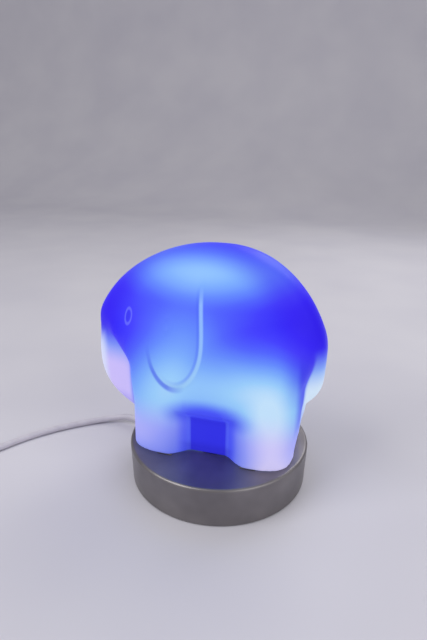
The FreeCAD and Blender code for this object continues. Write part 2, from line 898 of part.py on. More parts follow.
def terminal_block():
    half, deep = block_length / 2, block_depth / 2
    body = block(block_x - half, block_x + half, -deep, deep, block_z, pan_inside_z)
    body = body.makeFillet(1.0, [e for e in body.Edges if e.BoundBox.ZLength > block_height / 2])
    cuts = [rod(block_stud_radius + running_gap, Vector(block_x, 0, block_z - 1),
                Vector(block_x, 0, pan_inside_z + 1))]
    for x in block_poles():
        cuts.append(rod(tube_radius + fixed_gap, Vector(x, -deep - 1, block_wire_z),
                        Vector(x, deep + 1, block_wire_z)))
        for y in (-block_screw_y, block_screw_y):
            cuts.append(rod(block_screw_radius + running_gap, Vector(x, y, block_z - 1),
                            Vector(x, y, block_wire_z)))
    return body.cut(cuts)


def terminal_tubes():
    deep = block_depth / 2
    tubes = []
    for x in block_poles():
        tube = pipe(tube_radius, tube_bore, Vector(x, -deep + 1, block_wire_z),
                    Vector(x, deep - 1, block_wire_z))
        holes = [rod(block_screw_radius + running_gap, Vector(x, y, block_z),
                     Vector(x, y, block_wire_z)) for y in (-block_screw_y, block_screw_y)]
        tubes.append(tube.cut(holes))
    return tubes


def terminal_screws():
    screws = []
    for x in block_poles():
        for y in (-block_screw_y, block_screw_y):
            low = block_z - block_screw_proud
            screw = rod(block_screw_radius, Vector(x, y, low),
                        Vector(x, y, block_wire_z - tube_bore))
            slot = block(x - 2, x + 2, y - 0.3, y + 0.3, low - 0.1, low + 0.6)
            screws.append(screw.cut(slot))
    return screws


def block_nut():
    low = block_z - block_nut_height
    nut = hexagon(block_nut_flats, Vector(block_x, 0, low), block_nut_height)
    return nut.cut(rod(block_stud_radius + running_gap, Vector(block_x, 0, low - 1),
                       Vector(block_x, 0, block_z + 1)))


def supply_wires():
    """Two cores from the end of the cord's sheath up to the terminal block."""
    left, right = block_poles()
    sheath = polar(beside_wall(-sheath_inward), cord_angle, cord_exit_z)
    mouth = block_depth / 2 - 1
    lift = Vector(0, 0, 1.25)
    inwards = polar(1, cord_angle) * -8
    first = [sheath + lift, sheath + lift + inwards, Vector(-31, 21, 16), Vector(left, 24, 23),
             Vector(left, 18, block_wire_z), Vector(left, mouth, block_wire_z)]
    second = [sheath - lift, sheath - lift + inwards, Vector(-22, 18, 10), Vector(right, 25, 19),
              Vector(right, 19, block_wire_z), Vector(right, mouth, block_wire_z)]
    return [cord_tube("supply wire", route, wire_radius) for route in (first, second)]


def holder_wires():
    """Two cores from the terminal block up through the threaded tube to the lamp holder."""
    left, right = block_poles()
    mouth = 1 - block_depth / 2
    x = wire_radius + 0.2
    nipple_top = cap_floor_z + top_nut_height
    bend_z = cap_top_z - core_plug_depth - terminal_height / 2
    inner = terminal_x - terminal_radius
    first = [Vector(left, mouth, block_wire_z), Vector(left, -18, block_wire_z),
             Vector(-25, -22, 18), Vector(-13, -12, 10), Vector(-x, 0, 13),
             Vector(-x, 0, nut_z), Vector(-x, 0.2, nipple_top), Vector(-x, 0, bend_z),
             Vector(-inner, 0, bend_z)]
    second = [Vector(right, mouth, block_wire_z), Vector(right, -16, block_wire_z),
              Vector(-16, -20, 19), Vector(-5, -12, 11), Vector(x, 0, 15),
              Vector(x, 0, nut_z), Vector(x, 0.2, nipple_top), Vector(x, 0, bend_z),
              Vector(inner, 0, bend_z)]
    return [cord_tube("holder wire", route, wire_radius) for route in (first, second)]


def cord_gland():
    """Strain relief: a flange outside, a barrel through the wall and a tapered sleeve."""
    wall = max(wall_radius(cord_exit_z + side * gland_flange_radius) for side in (-1, 1)) + fixed_gap
    inner_end, outer_end = beside_wall(-gland_inward), beside_wall(gland_outward)
    profile = [
        (cord_radius + running_gap, inner_end), (gland_barrel_radius, inner_end),
        (gland_barrel_radius, wall), (gland_flange_radius, wall),
        (gland_flange_radius, wall + gland_flange - 0.6),
        (gland_flange_radius - 0.6, wall + gland_flange), (gland_sleeve_start, wall + gland_flange),
        (gland_sleeve_end, outer_end), (cord_radius + running_gap, outer_end),
    ]
    gland = revolved(profile)
    grooves = []
    for i in range(4):
        z = wall + gland_flange + 3.5 + 4 * i
        grooves.append(pipe(gland_sleeve_start + 1, gland_sleeve_end - 0.35, Vector(0, 0, z),
                            Vector(0, 0, z + 1.3)))
    return laid(gland.cut(grooves), cord_angle, cord_exit_z)


def gland_nut():
    corner = gland_nut_flats / math.sqrt(3)
    inside = min(wall_radius(cord_exit_z + side * corner) for side in (-1, 1)) - pan_sheet
    outer = math.sqrt(inside ** 2 - corner ** 2) - fixed_gap
    foot = Vector(0, 0, outer - gland_nut_height)
    nut = hexagon(gland_nut_flats, foot, gland_nut_height)
    nut = nut.cut(rod(gland_barrel_radius + running_gap, foot - UP, foot + UP * 5))
    return laid(nut, cord_angle, cord_exit_z)


def inner_cord():
    return rod(cord_radius, polar(beside_wall(-sheath_inward), cord_angle, cord_exit_z),
               polar(beside_wall(gland_outward), cord_angle, cord_exit_z))


def lead_route():
    """From the strain relief over the table, as far as the switch."""
    ahead = switch_direction()
    leaving = beside_wall(gland_outward)
    return [
        polar(leaving, cord_angle, cord_exit_z), polar(leaving + 15, cord_angle, cord_exit_z),
        Vector(-118.5, 40, 5), Vector(-136, 32, 3.1), Vector(-155, 17.5, 3),
        Vector(-173, 0.5, 3), Vector(-189, -20, 3), Vector(-200, -40, 3),
        switch_in() - ahead * 2 * switch_cord_depth, switch_in() + ahead * switch_cord_depth,
    ]


def switch_direction():
    return polar(1, 200)


def switch_in():
    return Vector(-231, -68, switch_cord_z)


def switch_out():
    return switch_in() + switch_direction() * switch_length


def placed_on_cord(shape, start, along, shift):
    """Turns a piece from its own frame to the cord's direction and moves it to its place."""
    shape.translate(Vector(shift, 0, 0))
    shape.rotate(Vector(0, 0, 0), UP, math.degrees(math.atan2(along.y, along.x)))
    shape.translate(Vector(start.x, start.y, 0))
    return shape


def plan_outline(length, width, corner, z):
    """A rectangle with round corners, centred, in the XY plane."""
    x, y, c = length / 2, width / 2, corner
    turn = c * (1 - math.sqrt(0.5))
    edges = []
    corners = [(1, 1), (-1, 1), (-1, -1), (1, -1)]
    for i, (sx, sy) in enumerate(corners):
        start = Vector(sx * x, sy * (y - c), z)
        end = Vector(sx * (x - c), sy * y, z)
        middle = Vector(sx * (x - turn), sy * (y - turn), z)
        if sx * sy < 0:
            start, end = end, start
        edges.append(Part.Arc(start, middle, end).toShape())
        nx, ny = corners[(i + 1) % 4]
        following = (Vector(nx * (x - c), ny * y, z) if nx * ny < 0 else
                     Vector(nx * x, ny * (y - c), z))
        if (following - end).Length > 0.01:
            edges.append(Part.LineSegment(end, following).toShape())
    return Part.Wire(edges)


def switch_case():
    """Both halves of the switch's case as one block, before they are parted."""
    case = Part.Face(plan_outline(switch_length, switch_width, switch_corner, 0)).extrude(
        Vector(0, 0, switch_height))
    top = [e for e in case.Edges if e.BoundBox.ZMin > switch_height - 0.01]
    case = case.makeFillet(switch_top_round, top)
    low = [e for e in case.Edges if e.BoundBox.ZMax < 0.01]
    return case.makeFillet(switch_bottom_round, low)


def switch_cavity(z0, z1):
    inner = plan_outline(switch_length - 2 * switch_wall, switch_width - 2 * switch_wall,
                         switch_corner - switch_wall, z0)
    return Part.Face(inner).extrude(Vector(0, 0, z1 - z0))


def switch_screw_places():
    return [(-switch_screw_x, switch_screw_y), (switch_screw_x, -switch_screw_y)]


def switch_mouth():
    """The round way through both end walls for the cord."""
    reach = switch_length / 2 + 1
    return rod(cord_radius + running_gap, Vector(-reach, 0, switch_cord_z),
               Vector(reach, 0, switch_cord_z))


def switch_base():
    half = block(-switch_length, switch_length, -switch_width, switch_width, 0, switch_split_z)
    shell = switch_case().common(half).cut(switch_cavity(switch_wall, switch_split_z + 1))
    for x, y in switch_screw_places():
        boss = rod(switch_boss_radius, Vector(x, y, switch_wall / 2), Vector(x, y, switch_split_z))
        shell = shell.fuse(boss)
        shell = shell.cut([
            rod(switch_screw_radius + running_gap, Vector(x, y, -1), Vector(x, y, switch_split_z + 1)),
            rod(switch_screw_head + 0.2, Vector(x, y, -1), Vector(x, y, switch_wall)),
        ])
    return shell.cut(switch_mouth())


def rocker_well():
    """Opening in the top of the case that the rocker tilts in."""
    tilt = math.radians(rocker_tilt)
    reach = rocker_length / 2 * math.cos(tilt) + rocker_end_rise * math.sin(tilt)
    x, y = reach + rocker_side_gap, rocker_width / 2 + rocker_side_gap
    return x, y


def switch_top():
    ceiling = switch_height - switch_wall
    half = block(-switch_length, switch_length, -switch_width, switch_width,
                 switch_split_z, switch_height)
    shell = switch_case().common(half).cut(switch_cavity(switch_split_z - 1, ceiling))
    x, y = rocker_well()
    cheeks = []
    for side in (-1, 1):
        near, far = side * y, side * (y + pin_cheek)
        cheeks.append(block(-3.5, 3.5, min(near, far), max(near, far),
                            ceiling - pin_cheek_height, ceiling + 0.5))
    shell = shell.fuse(cheeks).cut(block(-x, x, -y, y, ceiling - 1, switch_height + 1))
    half_pin = pin_length / 2 + running_gap
    shell = shell.cut(rod(pin_radius + fixed_gap, Vector(0, -half_pin, rocker_axis_z),
                          Vector(0, half_pin, rocker_axis_z)))
    for sx, sy in switch_screw_places():
        boss = rod(switch_boss_radius, Vector(sx, sy, switch_split_z), Vector(sx, sy, ceiling + 0.5))
        shell = shell.fuse(boss)
        shell = shell.cut(rod(switch_screw_radius + running_gap, Vector(sx, sy, switch_split_z - 1),
                              Vector(sx, sy, ceiling - 0.5)))
    return shell.cut(switch_mouth())


def switch_rocker():
    """A shallow V key on its hub, tilted to its ON side at rest."""
    half, wide = rocker_length / 2, rocker_width / 2
    z = rocker_axis_z
    outline = [(-half, 0.9), (-half + 0.3, rocker_end_rise), (0, rocker_middle_rise),
               (half - 0.3, rocker_end_rise), (half, 0.9), (rocker_hub_radius, -1.0),
               (-rocker_hub_radius, -1.0)]
    key = prism([Vector(x, -wide, z + up) for x, up in outline], Vector(0, 2 * wide, 0))
    hub = rod(rocker_hub_radius, Vector(0, -wide, z), Vector(0, wide, z))
    nib = rod(rocker_nib_radius, Vector(0, 0, z - rocker_nib_reach), Vector(0, 0, z))
    bore = rod(pin_radius + running_gap, Vector(0, -wide - 1, z), Vector(0, wide + 1, z))
    key = key.fuse([hub, nib]).cut(bore)
    key.rotate(Vector(0, 0, z), Vector(0, 1, 0), rocker_tilt)
    return key


def rocker_pin():
    half = pin_length / 2
    return rod(pin_radius, Vector(0, -half, rocker_axis_z), Vector(0, half, rocker_axis_z))


def switch_brass():
    """Two clamps for the live core, each with its contact post, on the floor of the case."""
    half = brass_side / 2
    clamps = []
    for side in (-1, 1):
        x = side * brass_x
        clamps.append(block(x - half, x + half, brass_y - half, brass_y + half,
                            switch_wall, switch_wall + brass_side))
    return clamps


def contact_bridge():
    """Leaf between the two clamps, under the rocker's nib."""
    z = switch_wall + brass_side
    reach = brass_x + brass_side / 2 - 0.5
    low = [(-reach, z), (-brass_x + 3, z), (0, z + 0.6), (brass_x - 3, z), (reach, z)]
    outline = low + [(x, height + bridge_sheet) for x, height in reversed(low)]
    y0 = brass_y - brass_side / 2
    return prism([Vector(x, y0, height) for x, height in outline],
                 Vector(0, brass_side + 3.5, 0))


def neutral_link():
    half = brass_side / 2
    return block(-brass_x - half, brass_x + half, link_y - 1.5, link_y + 1.5,
                 switch_wall, switch_wall + 3)


def switch_screws():
    screws = []
    for x, y in switch_screw_places():
        head_z = 0.3
        head = rod(switch_screw_head, Vector(x, y, head_z), Vector(x, y, switch_wall))
        slot = block(x - 3, x + 3, y - 0.3, y + 0.3, 0, head_z + 0.6)
        shank = rod(switch_screw_radius, Vector(x, y, switch_wall),
                    Vector(x, y, switch_height - switch_wall - 1))
        screws.append(head.cut(slot).fuse(shank))
    return screws


def switch_wires():
    """The cores inside the case, from each cord's end to its clamp or to the link."""
    start_x = switch_length / 2 - switch_cord_depth
    end_x = brass_x + brass_side / 2
    radius = wire_radius * 0.8
    targets = [(-1.4, brass_y, switch_wall + brass_side / 2), (1.4, link_y, switch_wall + 1.5)]
    wires = []
    for side in (-1, 1):
        for y, target_y, target_z in targets:
            route = [Vector(side * x, at_y, at_z) for x, at_y, at_z in (
                (start_x, y, switch_cord_z), (start_x - 2.5, y, switch_cord_z),
                (end_x + 2.5, target_y, target_z), (end_x, target_y, target_z))]
            wires.append(cord_tube("switch wire", route, radius))
    return wires


def coil_point(angle_done):
    """Centreline of the coil after turning this far, in degrees, clockwise from its start."""
    turned_back = 360.0 * coil_low_turns + 90.0
    inwards = turned_back - abs(angle_done - turned_back)
    radius = coil_outer - coil_pitch * inwards / 360.0
    climbed = smooth(turned_back - 90.0, turned_back + 90.0, angle_done)
    z = coil_rest_z + coil_layer_rise * climbed
    return Vector(coil_x, coil_y, 0) + polar(radius, coil_start_angle - angle_done, z)


def coil_turned():
    return 360.0 * (coil_low_turns + coil_high_turns) + 180.0


def coil_heading(angle_done):
    step = 1.0
    before = max(0.0, angle_done - step)
    after = min(coil_turned(), angle_done + step)
    return (coil_point(after) - coil_point(before)).normalize()


def biarc(start, start_way, end, end_way):
    """Two arcs that meet smoothly, from one point and heading to another."""
    chord = end - start
    ways = start_way + end_way
    a = 2 * (1 - start_way.dot(end_way))
    b = 2 * chord.dot(ways)
    c = -chord.dot(chord)
    if abs(a) < 1e-9:
        reach = -c / b
    else:
        reach = (-b + math.sqrt(b * b - 4 * a * c)) / (2 * a)
    p, q = start + start_way * reach, end - end_way * reach
    joint = (p + q) * 0.5
    edges = []
    for first, corner, last in ((start, p, joint), (joint, q, end)):
        back, on = (first - corner).normalize(), (last - corner).normalize()
        half_turn = (math.pi - back.getAngle(on)) / 2
        radius = (first - corner).Length / math.tan(half_turn)
        bisector = (back + on).normalize()
        middle = corner + bisector * (radius / math.cos(half_turn) - radius)
        edges.append(Part.Arc(first, middle, last).toShape())
    return edges


def coil_ends():
    """The two points where the coil's straight ends meet the other stretches of the cord."""
    straight = 2 * cord_radius
    start = coil_point(0) - coil_heading(0) * straight
    end = coil_point(coil_turned()) + coil_heading(coil_turned()) * straight
    return start, end


def cord_coil():
    total = coil_turned()
    marks = [0.0]
    while marks[-1] < total - 1:
        marks.append(min(total, marks[-1] + 90.0))
    start, end = coil_ends()
    edges = [Part.LineSegment(start, coil_point(0)).toShape()]
    for a, b in zip(marks, marks[1:]):
        edges += biarc(coil_point(a), coil_heading(a), coil_point(b), coil_heading(b))
    edges.append(Part.LineSegment(coil_point(total), end).toShape())
    wire = Part.Wire(edges)
    tube = swept(wire, cord_radius, start, coil_heading(0))
    expected = math.pi * cord_radius ** 2 * wire.Length
    print("cord_coil: length %.1f, volume ratio %.5f, least gap to itself %.3f"
          % (wire.Length, tube.Volume / expected, least_gap(wire)))
    return tube


def least_gap(wire):
    """Least gap between two stretches of the coil that are more than a half turn apart."""
    points = wire.discretize(Number=900)
    step = wire.Length / (len(points) - 1)
    apart = int(2.2 * coil_outer / step)
    least = 1e9
    for i, point in enumerate(points):
        for other in points[i + apart:]:
            least = min(least, point.distanceToPoint(other))
    return least - 2 * cord_radius


def mid_route():
    """From the switch to the start of the coil."""
    ahead = switch_direction()
    out, depth = switch_out(), switch_cord_depth
    end = coil_ends()[0]
    return [out - ahead * depth, out + ahead * depth, end - coil_heading(0) * depth, end]


def plug_start():
    return Vector(-382, -5.6, plug_thickness / 2)


def plug_direction():
    return polar(1, 90)


def tail_route():
    """From the end of the coil round to the plug's sleeve."""
    end, ahead = coil_ends()[1], coil_heading(coil_turned())
    return [
        end, end + ahead * 13.5, Vector(-386.2, -26.4, 8.5), plug_start() - plug_direction() * 7.5,
        plug_start() + plug_direction() * plug_cord_depth,
    ]


def plug_sleeve():
    bore = cord_radius + running_gap
    sleeve = revolved([
        (bore, 0), (plug_sleeve_start, 0), (plug_sleeve_end, plug_sleeve_length),
        (0, plug_sleeve_length), (0, plug_cord_depth), (bore, plug_cord_depth),
    ])
    grooves = [pipe(plug_sleeve_end + 1, plug_sleeve_start - 0.3, Vector(0, 0, 4 + 4 * i),
                    Vector(0, 0, 5.4 + 4 * i)) for i in range(5)]
    sleeve = sleeve.cut(grooves)
    sleeve.rotate(Vector(0, 0, 0), Vector(0, 1, 0), 90)
    sleeve.translate(Vector(0, 0, plug_thickness / 2))
    return sleeve


def plug_pin_face():
    return plug_sleeve_length + plug_body_length


def plug_body():
    x0, x1 = plug_sleeve_length, plug_pin_face()
    neck, wide = plug_neck_width / 2, plug_width / 2
    shoulder = x0 + 0.45 * plug_body_length
    outline = [(x0, -neck), (shoulder, -wide), (x1, -wide), (x1, wide), (shoulder, wide), (x0, neck)]
    body = prism([Vector(x, y, 0) for x, y in outline], Vector(0, 0, plug_thickness))
    body = body.makeFillet(plug_round, body.Edges)
    z = plug_thickness / 2
    for side in (-1, 1):
        y = side * plug_pin_spacing / 2
        body = body.cut(rod(plug_pin_root_radius + fixed_gap, Vector(x1 - plug_pin_root, y, z),
                            Vector(x1 + 1, y, z)))
    return body


def plug_pins():
    x1, z = plug_pin_face(), plug_thickness / 2
    pins = []
    for side in (-1, 1):
        y = side * plug_pin_spacing / 2
        pin = rod(plug_pin_radius, Vector(x1, y, z), Vector(x1 + plug_pin_length, y, z))
        tip = [e for e in pin.Edges if e.BoundBox.XMin > x1 + plug_pin_length - 0.01]
        pin = pin.makeFillet(plug_pin_radius * 0.8, tip)
        root = rod(plug_pin_root_radius, Vector(x1 - plug_pin_root, y, z), Vector(x1 + 1, y, z))
        pins.append(pin.fuse(root))
    return pins


def on_switch(shape):
    return placed_on_cord(shape, switch_in(), switch_direction(), switch_length / 2)


def on_plug(shape):
    return placed_on_cord(shape, plug_start(), plug_direction(), 0)


def main():
    os.makedirs("parts", exist_ok=True)
    save("glass_shade", glass_shade())
    save("base_pan", base_pan())
    save("base_weight", base_weight())
    save("hex_pillars", *pillars())
    save("bottom_cover", bottom_cover())
    save("cover_screws", *cover_screws())
    save("foot_pad", foot_pad())
    save("seat_pads", *seat_pads())
    save("shade_clips", *shade_clips())
    save("clip_rivets", *clip_rivets())
    save("nipple", nipple())
    save("nipple_nuts", *nipple_nuts())
    save("nipple_washer", nipple_washer())
    save("holder_cap", holder_cap())
    save("holder_core", holder_core())
    save("holder_sleeve", holder_sleeve())
    save("screw_shell", screw_shell())
    save("centre_contact", centre_contact())
    save("holder_terminals", *holder_terminals())
    save("bulb_cap", bulb_cap())
    save("cap_insulator", cap_insulator())
    save("cap_contact", cap_contact())
    save("bulb_housing", bulb_housing())
    save("led_board", led_board())
    save("led_chips", *led_chips())
    save("driver_board", driver_board())
    save("bulb_globe", bulb_globe())
    save("terminal_block", terminal_block())
    save("terminal_tubes", *terminal_tubes())
    save("terminal_screws", *terminal_screws())
    save("block_nut", block_nut())
    save("supply_wires", *supply_wires())
    save("holder_wires", *holder_wires())
    save("cord_gland", cord_gland())
    save("gland_nut", gland_nut())
    save("inner_cord", inner_cord())
    save("cord_lead", cord_tube("cord_lead", lead_route(), cord_radius))
    save("switch_base", on_switch(switch_base()))
    save("switch_top", on_switch(switch_top()))
    save("switch_rocker", on_switch(switch_rocker()))
    save("rocker_pin", on_switch(rocker_pin()))
    save("switch_brass", *[on_switch(piece) for piece in switch_brass()])
    save("contact_bridge", on_switch(contact_bridge()))
    save("neutral_link", on_switch(neutral_link()))
    save("switch_screws", *[on_switch(piece) for piece in switch_screws()])
    save("switch_wires", *[on_switch(piece) for piece in switch_wires()])
    save("cord_mid", cord_tube("cord_mid", mid_route(), cord_radius))
    save("cord_coil", cord_coil())
    save("cord_tail", cord_tube("cord_tail", tail_route(), cord_radius))
    save("plug_sleeve", on_plug(plug_sleeve()))
    save("plug_body", on_plug(plug_body()))
    save("plug_pins", *[on_plug(piece) for piece in plug_pins()])


main()
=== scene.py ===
import math

import bpy
from bpy.props import FloatProperty, FloatVectorProperty, IntProperty, PointerProperty
from bpy.types import Operator, Panel, PropertyGroup
from mathutils import Euler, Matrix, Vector


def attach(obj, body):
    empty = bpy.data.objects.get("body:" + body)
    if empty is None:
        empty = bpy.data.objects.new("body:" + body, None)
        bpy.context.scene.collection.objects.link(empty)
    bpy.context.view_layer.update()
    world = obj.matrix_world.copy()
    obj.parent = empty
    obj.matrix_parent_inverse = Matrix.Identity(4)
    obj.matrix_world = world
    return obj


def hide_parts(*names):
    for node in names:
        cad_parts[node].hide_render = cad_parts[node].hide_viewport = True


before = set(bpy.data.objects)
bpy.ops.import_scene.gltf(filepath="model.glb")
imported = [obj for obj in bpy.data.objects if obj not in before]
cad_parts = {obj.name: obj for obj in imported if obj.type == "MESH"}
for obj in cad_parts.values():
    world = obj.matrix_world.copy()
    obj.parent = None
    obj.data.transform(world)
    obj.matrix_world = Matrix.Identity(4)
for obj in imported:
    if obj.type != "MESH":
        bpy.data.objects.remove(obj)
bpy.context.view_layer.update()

bl_info = {
    "name": "Elephant Night Light",
    "version": (1, 0, 0),
    "blender": (4, 5, 0),
    "location": "View3D > Sidebar > Night Light",
    "description": "Dresses the glass elephant night light: glass, metal base, cord, switch and plug",
    "category": "Object",
}

MM = 0.001

# The photograph's camera, found from the outlines of the round base
CAMERA_PLACE = (0.09596, -0.35814, 0.27266)
CAMERA_TURN = (69.9195, -0.6575, 16.1609)
CAMERA_LENS = 28.125
CAMERA_SENSOR = 36
# The paper sweep: a floor that turns up into a wall, in metres
FLOOR_SIZE = 6.0
BEND_START = 1.4
BEND_RADIUS = 0.8
BEND_STEPS = 24
WALL_RISE = 2.5
# The soft square lamps of the studio: size and place, in metres. All look at the elephant's middle
KEY_LAMP = (0.9, (-0.75, -0.75, 1.15))
FILL_LAMP = (1.0, (1.0, -0.55, 0.75))
BACK_LAMP = (0.8, (0.35, 0.9, 0.9))
LAMPS_AIM = Vector((0, 0, 0.09))
SURROUND_STRENGTH = 0.6


def linear(code):
    """An sRGB hex colour as the linear values that a colour socket takes."""
    channels = [int(code[i:i + 2], 16) / 255 for i in (1, 3, 5)]
    return tuple(c / 12.92 if c <= 0.04045 else ((c + 0.055) / 1.055) ** 2.4 for c in channels) + (1.0,)


# Sizes and colours that a user would change

def colour(name, description, code):
    return FloatVectorProperty(name=name, description=description, subtype="COLOR", size=4,
                               min=0.0, max=1.0, default=linear(code))


class LampStage(PropertyGroup):
    backdrop: colour("Backdrop", "Colour of the floor and of the wall behind it", "#D6D4DA")
    surround: colour("Surround", "Colour of the light from all round", "#E4E3E8")
    key_power: FloatProperty(name="Key light", description="Power of the large lamp on the left",
                             default=9.0, min=0.0)
    fill_power: FloatProperty(name="Fill light", description="Power of the lamps on the right and behind",
                              default=4.0, min=0.0)


class LampCord(PropertyGroup):
    diameter: FloatProperty(name="Diameter", description="Diameter of the round cord", default=6 * MM,
                            min=4 * MM, max=7 * MM, subtype="DISTANCE", unit="LENGTH")
    sheath: colour("Sheath", "Colour of the sheath and of the sleeves moulded on it", "#CFCBD2")
    roundness: IntProperty(name="Roundness", description="Detail of the cord's round section",
                           default=5, min=2, max=12)


class LampGlass(PropertyGroup):
    grid: FloatProperty(name="Skin grid", description="Grid that the smooth skin is drawn on",
                        default=1.4 * MM, min=1.0 * MM, subtype="DISTANCE", unit="LENGTH")
    glow: FloatProperty(name="Glow", description="Strength of the light that leaves the glass",
                        default=0.62, min=0.0)
    body: FloatProperty(name="Body", description="Share of its colour that the skin reflects",
                        default=0.42, subtype="FACTOR", min=0.0, max=1.0)
    etch: FloatProperty(name="Etch", description="Roughness that the acid leaves",
                        default=0.42, subtype="FACTOR", min=0.0, max=1.0)


class LampBase(PropertyGroup):
    lacquer: colour("Lacquer", "Colour of the metallic lacquer", "#8C8889")
    roughness: FloatProperty(name="Roughness", description="Roughness of the lacquer", default=0.36,
                             subtype="FACTOR", min=0.0, max=1.0)


class LampFittings(PropertyGroup):
    case: colour("Case", "Colour of the switch and of the plug", "#D6D3D8")
    holder: colour("Holder", "Colour of the lamp holder", "#E9E7E3")


# Materials

def add_node(material, kind, inputs=(), **settings):
    """Adds a node with its settings; each input, by name or place, is a value or a socket."""
    made = material.node_tree.nodes.new(kind)
    for name, value in settings.items():
        setattr(made, name, value)
    for name, item in dict(inputs).items():
        if isinstance(item, bpy.types.NodeSocket):
            material.node_tree.links.new(item, made.inputs[name])
        else:
            made.inputs[name].default_value = linear(item) if isinstance(item, str) else item
    return made


def empty_material(name):
    """A material with no nodes but the one that gives a place in the part's own space."""
    material = bpy.data.materials.new(name)
    material.use_nodes = True
    material.node_tree.nodes.clear()
    place = add_node(material, "ShaderNodeTexCoord").outputs["Object"]
    return material, place


# Noise keeps mostly to these spans, which are widened to the whole range
CLOUD_SPAN = (0.32, 0.68)
GRAIN_SPAN = (0.3, 0.7)
GRAIN_STRENGTH = 0.6


def finish(name, tone, second, cloud_mm, grain_mm, roughness, depth_mm, stretch=(1, 1, 1), **sockets):
    """A finish of two tones that drift in slow clouds, under a grain that breaks gloss and skin.

    The grain is grain_mm across, drawn out by stretch, and depth_mm deep. Roughness is the least
    and the most that it leaves."""
    material, place = empty_material(name)
    cloud = add_node(material, "ShaderNodeTexNoise",
                     {"Vector": place, "Scale": 1 / (cloud_mm * MM), "Detail": 2.0}).outputs["Fac"]
    drawn = add_node(material, "ShaderNodeMapping", {"Vector": place, "Scale": stretch}).outputs["Vector"]
    grain = add_node(material, "ShaderNodeTexNoise",
                     {"Vector": drawn, "Scale": 1 / (grain_mm * MM), "Detail": 3.0}).outputs["Fac"]
    share = add_node(material, "ShaderNodeMapRange",
                     {"Value": cloud, "From Min": CLOUD_SPAN[0],
                      "From Max": CLOUD_SPAN[1]}).outputs["Result"]
    tones = add_node(material, "ShaderNodeMix", {0: share, 6: tone, 7: second}, data_type="RGBA")
    gloss = add_node(material, "ShaderNodeMapRange",
                     {"Value": grain, "From Min": GRAIN_SPAN[0], "From Max": GRAIN_SPAN[1],
                      "To Min": roughness[0], "To Max": roughness[1]}).outputs["Result"]
    skin = add_node(material, "ShaderNodeBump",
                    {"Height": grain, "Distance": depth_mm * MM, "Strength": GRAIN_STRENGTH})
    shader = add_node(material, "ShaderNodeBsdfPrincipled",
                      {"Base Color": tones.outputs[2], "Roughness": gloss,
                       "Normal": skin.outputs["Normal"]})
    for socket, value in sockets.items():
        shader.inputs[socket.replace("_", " ")].default_value = value
    add_node(material, "ShaderNodeOutputMaterial", {"Surface": shader.outputs["BSDF"]})
    return material


def glowing(material, glow):
    """Lets a finish give off light of its own colour."""
    shader = next(node for node in material.node_tree.nodes if node.type == "BSDF_PRINCIPLED")
    tone = shader.inputs["Base Color"].links[0].from_socket
    material.node_tree.links.new(tone, shader.inputs["Emission Color"])
    shader.inputs["Emission Strength"].default_value = glow
    return material


def spot(material, place, shape, centre, half, softness, strength, limit=None):
    """How far each place lies inside a soft spot, from 0 to its strength.

    Its centre and half size are in millimetres, and a half size of 0 leaves that axis out. It is
    round, a box, or a ring, and softness is the width of its edge as a share of its half size. A
    negative softness turns the spot inside out. Limit is a second share that multiplies it."""
    scale = tuple(1 / (size * MM) if size else 0.0 for size in half)
    shift = tuple(-middle * MM * factor for middle, factor in zip(centre, scale))
    local = add_node(material, "ShaderNodeVectorMath", {0: place, 1: scale, 2: shift},
                     operation="MULTIPLY_ADD").outputs["Vector"]
    if shape == "box":
        sizes = add_node(material, "ShaderNodeVectorMath", {0: local}, operation="ABSOLUTE")
        x, y, z = add_node(material, "ShaderNodeSeparateXYZ", {0: sizes.outputs["Vector"]}).outputs
        wide = add_node(material, "ShaderNodeMath", {0: x, 1: y}, operation="MAXIMUM").outputs[0]
        reach = add_node(material, "ShaderNodeMath", {0: wide, 1: z}, operation="MAXIMUM").outputs[0]
    else:
        reach = add_node(material, "ShaderNodeVectorMath", {0: local}, operation="LENGTH").outputs["Value"]
    outer, inner = 1 + softness, 1 - softness
    if shape == "ring":
        off = add_node(material, "ShaderNodeMath", {0: reach, 1: 1.0}, operation="SUBTRACT").outputs[0]
        reach = add_node(material, "ShaderNodeMath", {0: off}, operation="ABSOLUTE").outputs[0]
        outer, inner = softness, 0.25 * softness
    share = add_node(material, "ShaderNodeMapRange",
                     {"Value": reach, "From Min": outer, "From Max": inner, "To Max": strength},
                     interpolation_type="SMOOTHSTEP").outputs["Result"]
    if limit:
        share = add_node(material, "ShaderNodeMath", {0: share, 1: limit}, operation="MULTIPLY").outputs[0]
    return share


def lay_light_and_shade(material, under, tone, *args):
    """The colour under it with a tone laid over it in a soft spot: painted light where the tone is paler,
    and painted shade where it is darker.
    """
    share = spot(material, *args)
    return add_node(material, "ShaderNodeMix", {0: share, 6: under, 7: tone}, data_type="RGBA").outputs[2]


def light_in_glass(material, place):
    """Brightness of the skin: pools where it comes near the bulb or folds the light together."""
    level = LEAST_LIGHT
    for x, z, half_width, half_height, strength in LIGHT_POOLS:
        half = (half_width / 2, 0, half_height / 2)
        share = spot(material, place, "round", (x, 0, z), half, 1.0, strength)
        level = add_node(material, "ShaderNodeMath", {0: share, 1: level}, operation="ADD").outputs[0]
    return level


# The light in the glass. First the brightness that reaches all of it, and the pools that add to it:
# middle x and z, half width, half height, strength. A least-squares fit to the brightness in the
# photograph gave these values, which were then rounded, and the first pool was widened
LEAST_LIGHT = -0.18
LIGHT_POOLS = [
    (7, 183, 175, 29, 0.45),
    (49, 91, 70, 58, 1.07),
    (-18, 104, 62, 61, 0.48),
    (-59, 54, 108, 86, 1.0),
    (-16, 156, 150, 103, 0.63),
    (53, 24, 58, 75, 1.31),
]
